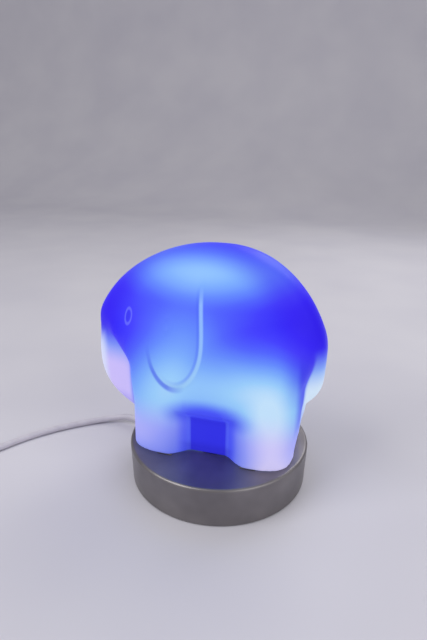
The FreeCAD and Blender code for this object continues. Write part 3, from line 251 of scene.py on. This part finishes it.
# The blue bulb's light, from faint to full: in the body, and in the legs, where it turns violet
BODY_GLOW = ["#1E02E6", "#2E1CFA", "#4340FE", "#5266FE", "#658CFE", "#7EB0FE", "#9CD0FE", "#C6E6FF"]
LEG_GLOW = ["#1E02E6", "#322AF6", "#454EFD", "#5E6EFA", "#7C8AFA", "#96A0FE", "#B6B8FE", "#D6D0FE"]

# The body's tones end, and the legs' begin, between these heights
BODY_ENDS, LEGS_BEGIN = 86, 52
# The painted shade on the rim of the body comes in from one height up to the other
RIM_STARTS, RIM_FULL = 86, 110
# Painted shade and painted highlights that lie over the glow: tone, shape, centre, half size, softness,
# strength
SHADED = [
    # Painted shade on the rim, where it turns away above the legs
    ("#3A24F2", "round", (-12, 0, 101), (75, 0, 92), -0.12, 0.50),
    # Painted shade in the creases where trunk and tail leave the body
    ("#3E38EE", "box", (73, 0, 96), (5, 44, 26), 0.5, 0.78),
    ("#5650F4", "box", (-73, 0, 96), (4, 44, 24), 0.5, 0.55),
    # Painted shade in the arch between the legs and on the flat panel that lies deeper, and painted
    # highlights on its two ribs
    ("#3C3CFC", "round", (1, 0, 73), (27, 0, 11), 0.55, 0.85),
    ("#4A55FC", "box", (-0.2, 0, 36), (22, 41, 36), 0.18, 0.60),
    ("#3433EE", "box", (-0.2, 0, 36), (15, 34, 36), 0.07, 0.95),
    ("#5C6EFE", "box", (-16.2, 0, 36), (1.3, 35, 34), 0.6, 0.75),
    ("#5C6EFE", "box", (15.4, 0, 36), (1.3, 35, 34), 0.6, 0.75),
    # Painted shade on the front edge of the front legs
    ("#6E72F8", "box", (-71, 0, 44), (5, 44, 26), 0.8, 0.55),
    # Painted shade at the foot of the panel, and on the panels between the two front and the two hind legs
    ("#2A26C6", "box", (-0.2, 0, 28), (17, 36, 13), 0.45, 0.60),
    ("#3A3CF2", "box", (0, 0, 36), (60, 9, 22), 0.12, 0.85),
]

# Trunk and tail: their middles and half width, and the bands of painted light that come in on the way down,
# each between two heights
TRUNK, TAIL = (-92, 0, 0), (90, 0, 0)
END_HALF = (20, 19.5, 0)
FIRST_LIGHT_SPAN = (130, 104)
SECOND_LIGHT_SPAN = (114, 92)
# The trunk's front edge, which takes a painted highlight, and its tip, which takes painted shade
TRUNK_RIM, TRUNK_RIM_HALF = (-113, 0, 84), (17, 24, 36)
TRUNK_TIP, TRUNK_TIP_HALF = (-82, 0, 50), (22, 60, 16)

# The ear's outline stands on its middle and leans to the head between these heights
EAR = (-24, 0, 130)
EAR_TOP = 174
EAR_LEAN = 3
# Where its lines come in: away from the middle of the body, from the top down, towards the rear,
# towards the front, and down to the fold
FLANK_SPAN = (13, 20)
TOP_SPAN = (172, 160)
REAR_SPAN, FRONT_SPAN = (-34, -14), (-16, -30)
FOLD_SPAN = (126, 106)
# The hollow inside the ear's edge, the edge itself and the fold outside it: half width and height
EAR_HOLLOW, EAR_EDGE, EAR_FOLD = (18.0, 0, 31), (20.2, 0, 33.4), (22.6, 0, 36.4)
# The eye's ring, which takes a painted highlight, and its middle, which takes painted shade
EYE, EYE_RING = (-66.8, 0, 142.6), (3.0, 0, 5.4)
EYE_MIDDLE, EYE_MIDDLE_HALF = (-67.2, 0, 142.6), (1.8, 0, 4.0)


def bulb_light(material, place, z):
    """The bulb's light as a tone: its brightness picks it from one row in the body, and from
    another in the legs."""
    level = light_in_glass(material, place)
    rows = []
    for tones in (BODY_GLOW, LEG_GLOW):
        ramp = add_node(material, "ShaderNodeValToRGB", {"Fac": level})
        elements = ramp.color_ramp.elements
        while len(elements) < len(tones):
            elements.new(0.5)
        for i, (element, code) in enumerate(zip(elements, tones)):
            element.position = i / (len(tones) - 1)
            element.color = linear(code)
        rows.append(ramp.outputs["Color"])
    in_legs = add_node(material, "ShaderNodeMapRange",
                       {"Value": z, "From Min": BODY_ENDS * MM, "From Max": LEGS_BEGIN * MM},
                       interpolation_type="SMOOTHSTEP").outputs["Result"]
    return add_node(material, "ShaderNodeMix", {0: in_legs, 6: rows[0], 7: rows[1]},
                    data_type="RGBA").outputs[2]


def shading(material, tone, place, z):
    """Painted shade on the darker places that the light from the bulb doesn't reach, with painted
    highlights on the panel's ribs.
    """
    above_legs = add_node(material, "ShaderNodeMapRange",
                          {"Value": z, "From Min": RIM_STARTS * MM,
                           "From Max": RIM_FULL * MM}).outputs["Result"]
    for code, *shape in SHADED:
        inside_out = shape[3] < 0
        tone = lay_light_and_shade(material, tone, code, place, *shape, above_legs if inside_out else None)
    return tone


def trunk_and_tail(material, tone, place, z):
    """Trunk and tail stand clear of the bulb and shine with scattered light, the trunk warmer."""
    first, second = [
        add_node(material, "ShaderNodeMapRange", {"Value": z, "From Min": top * MM, "From Max": low * MM},
                 interpolation_type="SMOOTHSTEP").outputs["Result"]
        for top, low in (FIRST_LIGHT_SPAN, SECOND_LIGHT_SPAN)]
    # Painted light in paler bands down the trunk, and a painted highlight on its front edge
    tone = lay_light_and_shade(material, tone, "#8EA8FC", place, "box", TRUNK, END_HALF, 0.14, 0.95, first)
    tone = lay_light_and_shade(material, tone, "#D2C4FE", place, "box", TRUNK, END_HALF, 0.14, 0.97, second)
    tone = lay_light_and_shade(material, tone, "#DCE6FE", place, "box", TRUNK_RIM, TRUNK_RIM_HALF, 0.26, 0.80, first)
    # Painted shade at the trunk's tip near the leg
    tone = lay_light_and_shade(material, tone, "#8E8AF4", place, "round", TRUNK_TIP, TRUNK_TIP_HALF, 0.5, 0.60)
    # Painted light in paler bands down the tail
    tone = lay_light_and_shade(material, tone, "#94BCFE", place, "box", TAIL, END_HALF, 0.14, 0.95, first)
    return lay_light_and_shade(material, tone, "#D8ECFE", place, "box", TAIL, END_HALF, 0.14, 0.97, second)


def ear_shares(material, x, y, z):
    """How much each place is on a flank, on the ear's rear edge, and in the fold in front."""
    side = add_node(material, "ShaderNodeMath", {0: y}, operation="ABSOLUTE").outputs[0]
    flank, low, rear, front, below = [
        add_node(material, "ShaderNodeMapRange",
                 {"Value": value, "From Min": start * MM, "From Max": end * MM}).outputs["Result"]
        for value, (start, end) in ((side, FLANK_SPAN), (z, TOP_SPAN), (x, REAR_SPAN),
                                    (x, FRONT_SPAN), (z, FOLD_SPAN))]
    on_flank = add_node(material, "ShaderNodeMath", {0: flank, 1: low}, operation="MULTIPLY").outputs[0]
    rear_edge = add_node(material, "ShaderNodeMath", {0: on_flank, 1: rear},
                         operation="MULTIPLY").outputs[0]
    fold = add_node(material, "ShaderNodeMath", {0: front, 1: below}, operation="MULTIPLY").outputs[0]
    front_fold = add_node(material, "ShaderNodeMath", {0: on_flank, 1: fold},
                          operation="MULTIPLY").outputs[0]
    return flank, rear_edge, front_fold


def ear_and_eye(material, tone, place, x, y, z):
    """The pressed lines of both flanks: a painted highlight where the ear's edge stands proud, painted
    shade where it folds under, and a painted highlight on the oval of the eye with painted shade in its
    middle."""
    flank, rear_edge, front_fold = ear_shares(material, x, y, z)
    # Above its middle the ear's outline runs up and leans to the head, so its lines are drawn on a
    # place that moves back by the lean and stays at the middle's height
    lean = add_node(material, "ShaderNodeMapRange",
                    {"Value": z, "From Min": EAR[2] * MM, "From Max": EAR_TOP * MM,
                     "To Max": EAR_LEAN * MM}, interpolation_type="SMOOTHSTEP").outputs["Result"]
    shift = add_node(material, "ShaderNodeCombineXYZ", {"X": lean}).outputs["Vector"]
    moved = add_node(material, "ShaderNodeVectorMath", {0: place, 1: shift}, operation="ADD")
    held = add_node(material, "ShaderNodeVectorMath",
                    {0: moved.outputs["Vector"], 1: (1.0, 1.0, EAR[2] * MM)},
                    operation="MINIMUM").outputs["Vector"]
    # Painted shade in the hollow inside the ear's edge, a painted highlight on the edge, and painted shade
    # in the fold
    tone = lay_light_and_shade(material, tone, "#4A66F6", held, "ring", EAR, EAR_HOLLOW, 0.10, 0.35, rear_edge)
    tone = lay_light_and_shade(material, tone, "#A8D8FF", held, "ring", EAR, EAR_EDGE, 0.10, 0.62, rear_edge)
    tone = lay_light_and_shade(material, tone, "#4458EE", held, "ring", EAR, EAR_FOLD, 0.11, 0.70, front_fold)
    # A painted highlight on the eye's ring and painted shade in its middle
    tone = lay_light_and_shade(material, tone, "#7E86FF", place, "ring", EYE, EYE_RING, 0.34, 0.45, flank)
    return lay_light_and_shade(material, tone, "#3434E6", place, "round", EYE_MIDDLE, EYE_MIDDLE_HALF, 0.4, 0.40, flank)


def etched_skin(material, place):
    """The mould leaves slow ripples 16 mm apart, and the acid a frost, drawn coarser than life to
    show."""
    ripple = add_node(material, "ShaderNodeTexNoise",
                      {"Vector": place, "Scale": 1 / (16 * MM), "Detail": 1.0})
    frost = add_node(material, "ShaderNodeTexNoise",
                     {"Vector": place, "Scale": 1 / (0.8 * MM), "Detail": 2.0})
    relief = add_node(material, "ShaderNodeMath",
                      {0: frost.outputs["Fac"], 1: 0.06, 2: ripple.outputs["Fac"]},
                      operation="MULTIPLY_ADD")
    return add_node(material, "ShaderNodeBump",
                    {"Height": relief.outputs[0], "Distance": 0.35 * MM,
                     "Strength": 0.5}).outputs["Normal"]


def etched_opal_glass(look):
    """Opal glass blown in a mould and etched with acid. It scatters the light from inside, so the
    colour lies on its skin in soft pools, under a faint and wide gloss."""
    material, place = empty_material("acid_etched_opal_glass")
    x, y, z = add_node(material, "ShaderNodeSeparateXYZ", {0: place}).outputs
    # The tone is painted light: pools of the bulb's glow, then painted shade and highlights; it goes into
    # both the colour the skin reflects and the light it gives off
    tone = bulb_light(material, place, z)
    tone = shading(material, tone, place, z)
    tone = ear_and_eye(material, tone, place, x, y, z)
    tone = trunk_and_tail(material, tone, place, z)
    drift = add_node(material, "ShaderNodeTexNoise",
                     {"Vector": place, "Scale": 1 / (14 * MM), "Detail": 3.0}).outputs["Fac"]
    gloss = add_node(material, "ShaderNodeMapRange",
                     {"Value": drift, "From Min": GRAIN_SPAN[0], "From Max": GRAIN_SPAN[1],
                      "To Min": look.etch - 0.04, "To Max": look.etch + 0.05}).outputs["Result"]
    body = add_node(material, "ShaderNodeMix", {0: 1 - look.body, 6: tone, 7: "#000000"},
                    data_type="RGBA").outputs[2]
    shader = add_node(material, "ShaderNodeBsdfPrincipled",
                      {"Base Color": body, "Roughness": gloss, "IOR": 1.5,
                       "Specular IOR Level": 0.11, "Emission Color": tone,
                       "Emission Strength": look.glow, "Normal": etched_skin(material, place)})
    add_node(material, "ShaderNodeOutputMaterial", {"Surface": shader.outputs["BSDF"]})
    return material


# Making of pieces

def make_active(piece):
    """Selects one piece alone, for the operators that follow."""
    bpy.ops.object.select_all(action="DESELECT")
    piece.select_set(True)
    bpy.context.view_layer.objects.active = piece


def apply_modifier(piece, kind, **settings):
    """Adds a modifier with its settings and applies it."""
    make_active(piece)
    modifier = piece.modifiers.new(kind.lower(), kind)
    for name, value in settings.items():
        setattr(modifier, name, value)
    bpy.ops.object.modifier_apply(modifier=modifier.name)


def merged_copy(node, name):
    """A copy of a CAD node's mesh as a piece of its own, its loose triangles joined."""
    piece = bpy.data.objects.new(name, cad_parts[node].data.copy())
    bpy.context.scene.collection.objects.link(piece)
    make_active(piece)
    bpy.ops.object.mode_set(mode="EDIT")
    bpy.ops.mesh.select_all(action="SELECT")
    bpy.ops.mesh.remove_doubles(threshold=0.01 * MM)
    bpy.ops.object.mode_set(mode="OBJECT")
    return piece


def dress(names, material):
    """CAD nodes keep their mesh and take this material in each of their slots."""
    for name in names:
        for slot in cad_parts[name].material_slots:
            slot.material = material


# The cord's route, in millimetres, by the points of the solid model's own route

def ray(radius, degrees, z=0.0):
    """The place at a distance and a direction from the base's axis."""
    angle = math.radians(degrees)
    return Vector((radius * math.cos(angle), radius * math.sin(angle), z))


# Where the cord leaves the base, where it enters the switch and which way, the switch's length, and
# how far the cord runs on inside what it enters
GLAND_TURN = 158
GLAND_REACH = 96.155
GLAND_HEIGHT = 8
GLAND_END = ray(GLAND_REACH, GLAND_TURN, GLAND_HEIGHT)
SWITCH_IN = Vector((-231, -68, 6.5))
SWITCH_WAY = ray(1, 200)
SWITCH_LENGTH = 64
CORD_DEPTH = 8
# The coil: its middle, the radius and direction where it starts, the step from one turn or layer to
# the next, its turns inwards and outwards, and the height of its line on the floor
COIL_CENTRE = Vector((-342.6, -59.5, 0))
COIL_OUTER = 46.3
COIL_PITCH = 6.6
COIL_START = 290
COIL_LOW_TURNS = 3.0
COIL_HIGH_TURNS = 2.0 + 290 / 360
COIL_REST = 3.02
# It climbs to its second layer for so many degrees before it turns back, and as many after
COIL_CLIMB = 90
# Straight length at both ends, and the degrees from one control point to the next
COIL_STRAIGHT = 6
COIL_STEP = 30
PLUG_START = Vector((-382, -5.6, 7))
PLUG_WAY = Vector((0, 1, 0))


def lead_points():
    """Out of the base, over the floor and into the switch."""
    return [
        GLAND_END, ray(GLAND_REACH + 15, GLAND_TURN, GLAND_HEIGHT), Vector((-118.5, 40, 5)),
        Vector((-136, 32, 3.1)), Vector((-155, 17.5, 3)), Vector((-173, 0.5, 3)),
        Vector((-189, -20, 3)), Vector((-200, -40, 3)),
        SWITCH_IN - SWITCH_WAY * 2 * CORD_DEPTH, SWITCH_IN + SWITCH_WAY * CORD_DEPTH,
    ]


def coil_point(turned, widened=1.0):
    """The coil's line after so many degrees: inwards on the floor, then outwards a layer higher."""
    back = 360 * COIL_LOW_TURNS + COIL_CLIMB
    radius = COIL_OUTER - COIL_PITCH * (back - abs(turned - back)) / 360
    climb = min(1.0, max(0.0, (turned - back + COIL_CLIMB) / (2 * COIL_CLIMB)))
    height = COIL_REST + COIL_PITCH * climb * climb * (3 - 2 * climb)
    return COIL_CENTRE + ray(radius * widened, COIL_START - turned, height)


def put_away_points():
    """Out of the switch, round the coil's two layers, and on to the plug."""
    total = 360 * (COIL_LOW_TURNS + COIL_HIGH_TURNS) + 2 * COIL_CLIMB
    way_in = (coil_point(1) - coil_point(0)).normalized()
    way_out = (coil_point(total) - coil_point(total - 1)).normalized()
    switch_out = SWITCH_IN + SWITCH_WAY * SWITCH_LENGTH
    coil_in = coil_point(0) - way_in * COIL_STRAIGHT
    coil_out = coil_point(total) + way_out * COIL_STRAIGHT
    points = [switch_out - SWITCH_WAY * CORD_DEPTH, switch_out + SWITCH_WAY * CORD_DEPTH,
              coil_in - way_in * CORD_DEPTH]
    # Control points stand a little outside the line that they draw
    widened = 1 / math.cos(math.radians(COIL_STEP / 2))
    points += [coil_point(COIL_STEP * (i + 0.5), widened) for i in range(int(total // COIL_STEP))]
    points += [coil_out + way_out * 13.5, Vector((-386.2, -26.4, 8.5)), PLUG_START - PLUG_WAY * 7.5,
               PLUG_START + PLUG_WAY * 8.5]
    return points


def laid_cord(name, points, look):
    """A round cord on one smooth line that its control points draw."""
    curve = bpy.data.curves.new(name, "CURVE")
    curve.dimensions = "3D"
    curve.resolution_u = 8
    # The thickness is this depth times the radius at each point, and the cord's bounds count that
    # radius, so it is the real one
    curve.bevel_depth = 1.0
    curve.bevel_resolution = look.roundness
    curve.use_fill_caps = True
    spline = curve.splines.new("NURBS")
    spline.points.add(len(points) - 1)
    for target, point in zip(spline.points, points):
        target.co = (*(point * MM), 1.0)
        target.radius = look.diameter / 2
    spline.order_u = 3
    spline.use_endpoint_u = True
    piece = bpy.data.objects.new(name, curve)
    bpy.context.scene.collection.objects.link(piece)
    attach(piece, "base")
    return piece


# Operators, one for each piece or group of like pieces

# Strength of the light that the bulb's dome and its light chips give off
GLOBE_GLOW, CHIP_GLOW = 0.9, 1.2


class LAMP_OT_stage(Operator):
    """Camera at the photograph's viewing angle, a plain pale sweep and soft lamps"""
    bl_idname = "lamp.stage"
    bl_label = "Studio"

    def execute(self, context):
        look = context.scene.lamp_stage
        scene = context.scene
        camera = bpy.data.objects.new("camera", bpy.data.cameras.new("camera"))
        scene.collection.objects.link(camera)
        camera.location = CAMERA_PLACE
        camera.rotation_euler = Euler([math.radians(angle) for angle in CAMERA_TURN])
        camera.data.sensor_width = CAMERA_SENSOR
        camera.data.lens = CAMERA_LENS
        camera.data.clip_start = 0.01
        scene.camera = camera
        self.sweep(look)
        self.lamp("key_lamp", look.key_power, *KEY_LAMP)
        self.lamp("fill_lamp", look.fill_power, *FILL_LAMP)
        self.lamp("back_lamp", look.fill_power, *BACK_LAMP)
        world = bpy.data.worlds.new("soft_surround")
        world.use_nodes = True
        background = world.node_tree.nodes["Background"]
        background.inputs["Color"].default_value = look.surround
        background.inputs["Strength"].default_value = SURROUND_STRENGTH
        scene.world = world
        scene.view_settings.view_transform = "Standard"
        return {"FINISHED"}

    def sweep(self, look):
        """A floor that turns up into a wall well behind the lamp."""
        bpy.ops.object.select_all(action="DESELECT")
        bpy.ops.mesh.primitive_plane_add(size=FLOOR_SIZE, location=(0, BEND_START - FLOOR_SIZE / 2, 0))
        backdrop = bpy.context.active_object
        backdrop.name = "paper_sweep"
        bpy.ops.object.transform_apply(location=True, rotation=True, scale=True)
        bpy.ops.object.mode_set(mode="EDIT")
        bpy.ops.mesh.select_all(action="DESELECT")
        bpy.ops.object.mode_set(mode="OBJECT")
        for edge in backdrop.data.edges:
            edge.select = all(backdrop.data.vertices[v].co.y > 0 for v in edge.vertices)
        bpy.ops.object.mode_set(mode="EDIT")
        bpy.ops.mesh.select_mode(type="EDGE")
        bpy.ops.mesh.spin(steps=BEND_STEPS, angle=math.radians(-90),
                          center=(0, BEND_START, BEND_RADIUS), axis=(1, 0, 0))
        bpy.ops.mesh.extrude_region_move(TRANSFORM_OT_translate={"value": (0, 0, WALL_RISE)})
        bpy.ops.object.mode_set(mode="OBJECT")
        bpy.ops.object.shade_smooth_by_angle(angle=math.radians(30))
        # Matt paper from the roll: an even tone, with only a trace of cloud in it
        paper = finish("matt_seamless_paper", look.backdrop, "#CECCD4", 220, 1.5, (0.78, 0.86), 0.02)
        backdrop.data.materials.append(paper)

    def lamp(self, name, power, size, place):
        data = bpy.data.lights.new(name, "AREA")
        data.energy = power
        data.size = size
        lamp = bpy.data.objects.new(name, data)
        bpy.context.scene.collection.objects.link(lamp)
        lamp.location = place
        lamp.rotation_euler = (LAMPS_AIM - lamp.location).to_track_quat("-Z", "Y").to_euler()


class LAMP_OT_cords(Operator):
    """The cord from the base to the switch, and from the switch through its coil to the plug"""
    bl_idname = "lamp.cords"
    bl_label = "Cord"

    def execute(self, context):
        look = context.scene.lamp_cord
        # PVC extruded round the cores: smooth and a little waxy, with faint streaks from the die
        sheath = finish("extruded_pvc_sheath", look.sheath, "#C6C2CA", 9, 0.9, (0.36, 0.5), 0.03,
                        IOR=1.54)
        lead = laid_cord("cord_to_switch", lead_points(), look)
        away = laid_cord("cord_to_plug", put_away_points(), look)
        lead.data.materials.append(sheath)
        away.data.materials.append(sheath)
        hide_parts("cord_lead")
        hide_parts("cord_mid", "cord_coil", "cord_tail")
        dress(["inner_cord", "cord_gland", "plug_sleeve"], sheath)
        return {"FINISHED"}


class LAMP_OT_glass(Operator):
    """The etched glass elephant, drawn again on an even grid so that its skin is smooth"""
    bl_idname = "lamp.glass"
    bl_label = "Glass elephant"

    def execute(self, context):
        look = context.scene.lamp_glass
        piece = merged_copy("glass_shade", "elephant_glass")
        apply_modifier(piece, "REMESH", mode="VOXEL", voxel_size=look.grid, use_smooth_shade=True)
        apply_modifier(piece, "SMOOTH", factor=0.5, iterations=3)
        piece.data.materials.clear()
        piece.data.materials.append(etched_opal_glass(look))
        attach(piece, "shade")
        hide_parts("glass_shade")
        return {"FINISHED"}


class LAMP_OT_base(Operator):
    """The lacquered drum with its felt, weight, cover, pads and springs"""
    bl_idname = "lamp.base"
    bl_label = "Base"

    def execute(self, context):
        look = context.scene.lamp_base
        # Steel spun on a lathe and sprayed with metallic lacquer: fine flakes, faint rings, satin gloss
        dress(["base_pan"], finish("satin_lacquer_on_spun_steel", look.lacquer, "#7C787A", 30, 0.5,
                                   (look.roughness - 0.04, look.roughness + 0.07), 0.02, (1, 1, 3),
                                   Metallic=0.85))
        # Grey iron cast in sand and dipped in primer: a dark, pitted, dull skin
        dress(["base_weight"], finish("sand_cast_grey_iron", "#2B2A2C", "#4A484A", 6, 1.2, (0.55, 0.7),
                                      0.25, Metallic=0.35))
        # Needled wool felt: short tangled fibres that are dull, and paler at a grazing light
        dress(["foot_pad"], finish("needled_wool_felt", "#1E1D20", "#343237", 2.5, 0.5, (0.9, 1.0), 0.25,
                                   Sheen_Weight=0.35))
        # Clear silicone, cast in sheet: it shows the metal under it, so it looks smoke grey
        dress(["seat_pads"], finish("clear_silicone_sheet", "#77757C", "#6A686F", 8, 0.6, (0.4, 0.5), 0.02))
        # Steel turned or pressed and then zinc plated: bright grey, slightly clouded
        dress(["hex_pillars", "cover_screws", "clip_rivets", "nipple", "nipple_nuts", "nipple_washer",
               "terminal_screws", "block_nut"],
              finish("zinc_plated_steel", "#B6B8BC", "#8E9096", 4, 0.5, (0.28, 0.44), 0.02, Metallic=1.0))
        # Rolled sheet, zinc coated: long rolling lines along one way
        dress(["bottom_cover"], finish("rolled_zinc_coated_sheet", "#A2A4A7", "#8B8D91", 14, 1.4,
                                       (0.36, 0.52), 0.03, (1, 14, 1), Metallic=1.0))
        # Stainless strip, ground along its length
        dress(["shade_clips"], finish("ground_stainless_strip", "#C2C2C4", "#A6A6AA", 6, 0.6,
                                      (0.18, 0.32), 0.01, (1, 1, 9), Metallic=1.0))
        return {"FINISHED"}


class LAMP_OT_holder(Operator):
    """The lamp holder with its wiring, and the terminal block in the base"""
    bl_idname = "lamp.holder"
    bl_label = "Lamp holder"

    def execute(self, context):
        look = context.scene.lamp_fittings
        # PBT moulded in an eroded tool: an even tint and a fine, dull grain
        dress(["holder_cap", "holder_sleeve", "gland_nut", "terminal_block"],
              finish("moulded_pbt", look.holder, "#DAD8D3", 12, 0.7, (0.36, 0.48), 0.03, IOR=1.55))
        # Steatite fired under a clear glaze: warm white and glassy, with shallow pools in the glaze
        dress(["holder_core"], finish("glazed_steatite", "#F1EEE7", "#E0DACE", 4, 2.5, (0.1, 0.18), 0.04,
                                      Coat_Weight=0.5))
        # Brass stamped from strip and left bare: warm yellow with brown clouds
        dress(["screw_shell", "centre_contact", "holder_terminals", "terminal_tubes", "switch_brass",
               "contact_bridge", "neutral_link"],
              finish("stamped_brass", "#CDA752", "#9C7836", 5, 0.5, (0.22, 0.38), 0.01, Metallic=1.0))
        # PVC core insulation, extruded
        dress(["supply_wires", "switch_wires"],
              finish("brown_pvc_insulation", "#5C2F17", "#4A2410", 6, 0.6, (0.3, 0.42), 0.01))
        dress(["holder_wires"],
              finish("blue_pvc_insulation", "#24489E", "#1B3A86", 6, 0.6, (0.3, 0.42), 0.01))
        return {"FINISHED"}


class LAMP_OT_bulb(Operator):
    """The bulb: cap, housing, boards, light chips and dome"""
    bl_idname = "lamp.bulb"
    bl_label = "Bulb"

    def execute(self, context):
        # Opal polycarbonate, blow moulded and lit from inside
        dress(["bulb_globe"], glowing(finish("blown_opal_polycarbonate", "#EEF2FF", "#CDD6FF", 14, 0.8,
                                             (0.32, 0.44), 0.02, IOR=1.58), GLOBE_GLOW))
        # PBT moulded in a polished tool
        dress(["bulb_housing"], finish("polished_pbt", "#EFEFEF", "#E1E1E3", 12, 1.5, (0.18, 0.28), 0.01,
                                       IOR=1.55))
        # Brass rolled to its thread and nickel plated
        dress(["bulb_cap", "plug_pins"], finish("nickel_plated_brass", "#CFCBC2", "#ABA79E", 4, 0.5,
                                                (0.14, 0.28), 0.01, Metallic=1.0))
        # Tin solder, set from a drop: dull silver with fine wrinkles
        dress(["cap_contact"], finish("tin_solder", "#BFC1C5", "#9DA0A6", 2, 0.6, (0.3, 0.5), 0.05,
                                      Metallic=1.0))
        # Black glass, pressed hot into the cap
        dress(["cap_insulator"], finish("black_pressed_glass", "#17171A", "#24242A", 3, 1.0,
                                        (0.08, 0.18), 0.02))
        # Glass cloth and epoxy under solder mask, the weave just showing
        dress(["led_board"], finish("white_solder_mask", "#EDEDED", "#D9D5C8", 3, 0.5, (0.3, 0.4), 0.02))
        dress(["driver_board"], finish("green_solder_mask", "#1C6B3F", "#2F8250", 3, 0.5,
                                       (0.28, 0.4), 0.02))
        # Phosphor in clear silicone over each light chip
        dress(["led_chips"], glowing(finish("phosphor_gel", "#FFE79A", "#F6D25C", 1.5, 0.3, (0.2, 0.3),
                                            0.01), CHIP_GLOW))
        return {"FINISHED"}


class LAMP_OT_switch_and_plug(Operator):
    """The switch on the cord and the plug, moulded in the cord's own pale tone"""
    bl_idname = "lamp.switch_and_plug"
    bl_label = "Switch and plug"

    def execute(self, context):
        look = context.scene.lamp_fittings
        # ABS moulded in an eroded tool, and in a polished one for the rocker
        dress(["switch_base", "switch_top", "plug_body"],
              finish("moulded_abs", look.case, "#CECBD1", 14, 0.7, (0.3, 0.42), 0.03, IOR=1.53))
        dress(["switch_rocker"], finish("polished_abs", "#E6E4E9", "#DBD9DE", 10, 1.5, (0.16, 0.24), 0.01,
                                        IOR=1.53))
        # Steel screws, zinc plated
        dress(["rocker_pin", "switch_screws"], finish("bright_zinc_screws", "#BBBDC2", "#999BA1", 2, 0.4,
                                                      (0.24, 0.4), 0.01, Metallic=1.0))
        return {"FINISHED"}


PANEL_ROWS = [
    ("lamp_stage", "lamp.stage"),
    ("lamp_cord", "lamp.cords"),
    ("lamp_glass", "lamp.glass"),
    ("lamp_base", "lamp.base"),
    ("lamp_fittings", "lamp.holder"),
    (None, "lamp.bulb"),
    (None, "lamp.switch_and_plug"),
]


class LAMP_PT_panel(Panel):
    """Lists the night light's pieces with their sizes and colours"""
    bl_idname = "LAMP_PT_panel"
    bl_label = "Night Light"
    bl_space_type = "VIEW_3D"
    bl_region_type = "UI"
    bl_category = "Night Light"

    def draw(self, context):
        for group, step in PANEL_ROWS:
            box = self.layout.box()
            if group:
                values = getattr(context.scene, group)
                for name in values.bl_rna.properties.keys():
                    if name not in ("rna_type", "name"):
                        box.prop(values, name)
            box.operator(step)


GROUPS = {
    "lamp_stage": LampStage,
    "lamp_cord": LampCord,
    "lamp_glass": LampGlass,
    "lamp_base": LampBase,
    "lamp_fittings": LampFittings,
}
CLASSES = [
    *GROUPS.values(), LAMP_OT_stage, LAMP_OT_cords, LAMP_OT_glass, LAMP_OT_base, LAMP_OT_holder,
    LAMP_OT_bulb, LAMP_OT_switch_and_plug, LAMP_PT_panel,
]


def register():
    for item in CLASSES:
        bpy.utils.register_class(item)
    for name, group in GROUPS.items():
        setattr(bpy.types.Scene, name, PointerProperty(type=group))


def unregister():
    for name in GROUPS:
        delattr(bpy.types.Scene, name)
    for item in reversed(CLASSES):
        bpy.utils.unregister_class(item)


def main():
    register()
    bpy.ops.lamp.stage()
    bpy.ops.lamp.cords()
    bpy.ops.lamp.glass()
    bpy.ops.lamp.base()
    bpy.ops.lamp.holder()
    bpy.ops.lamp.bulb()
    bpy.ops.lamp.switch_and_plug()


if __name__ == "__main__":
    main()
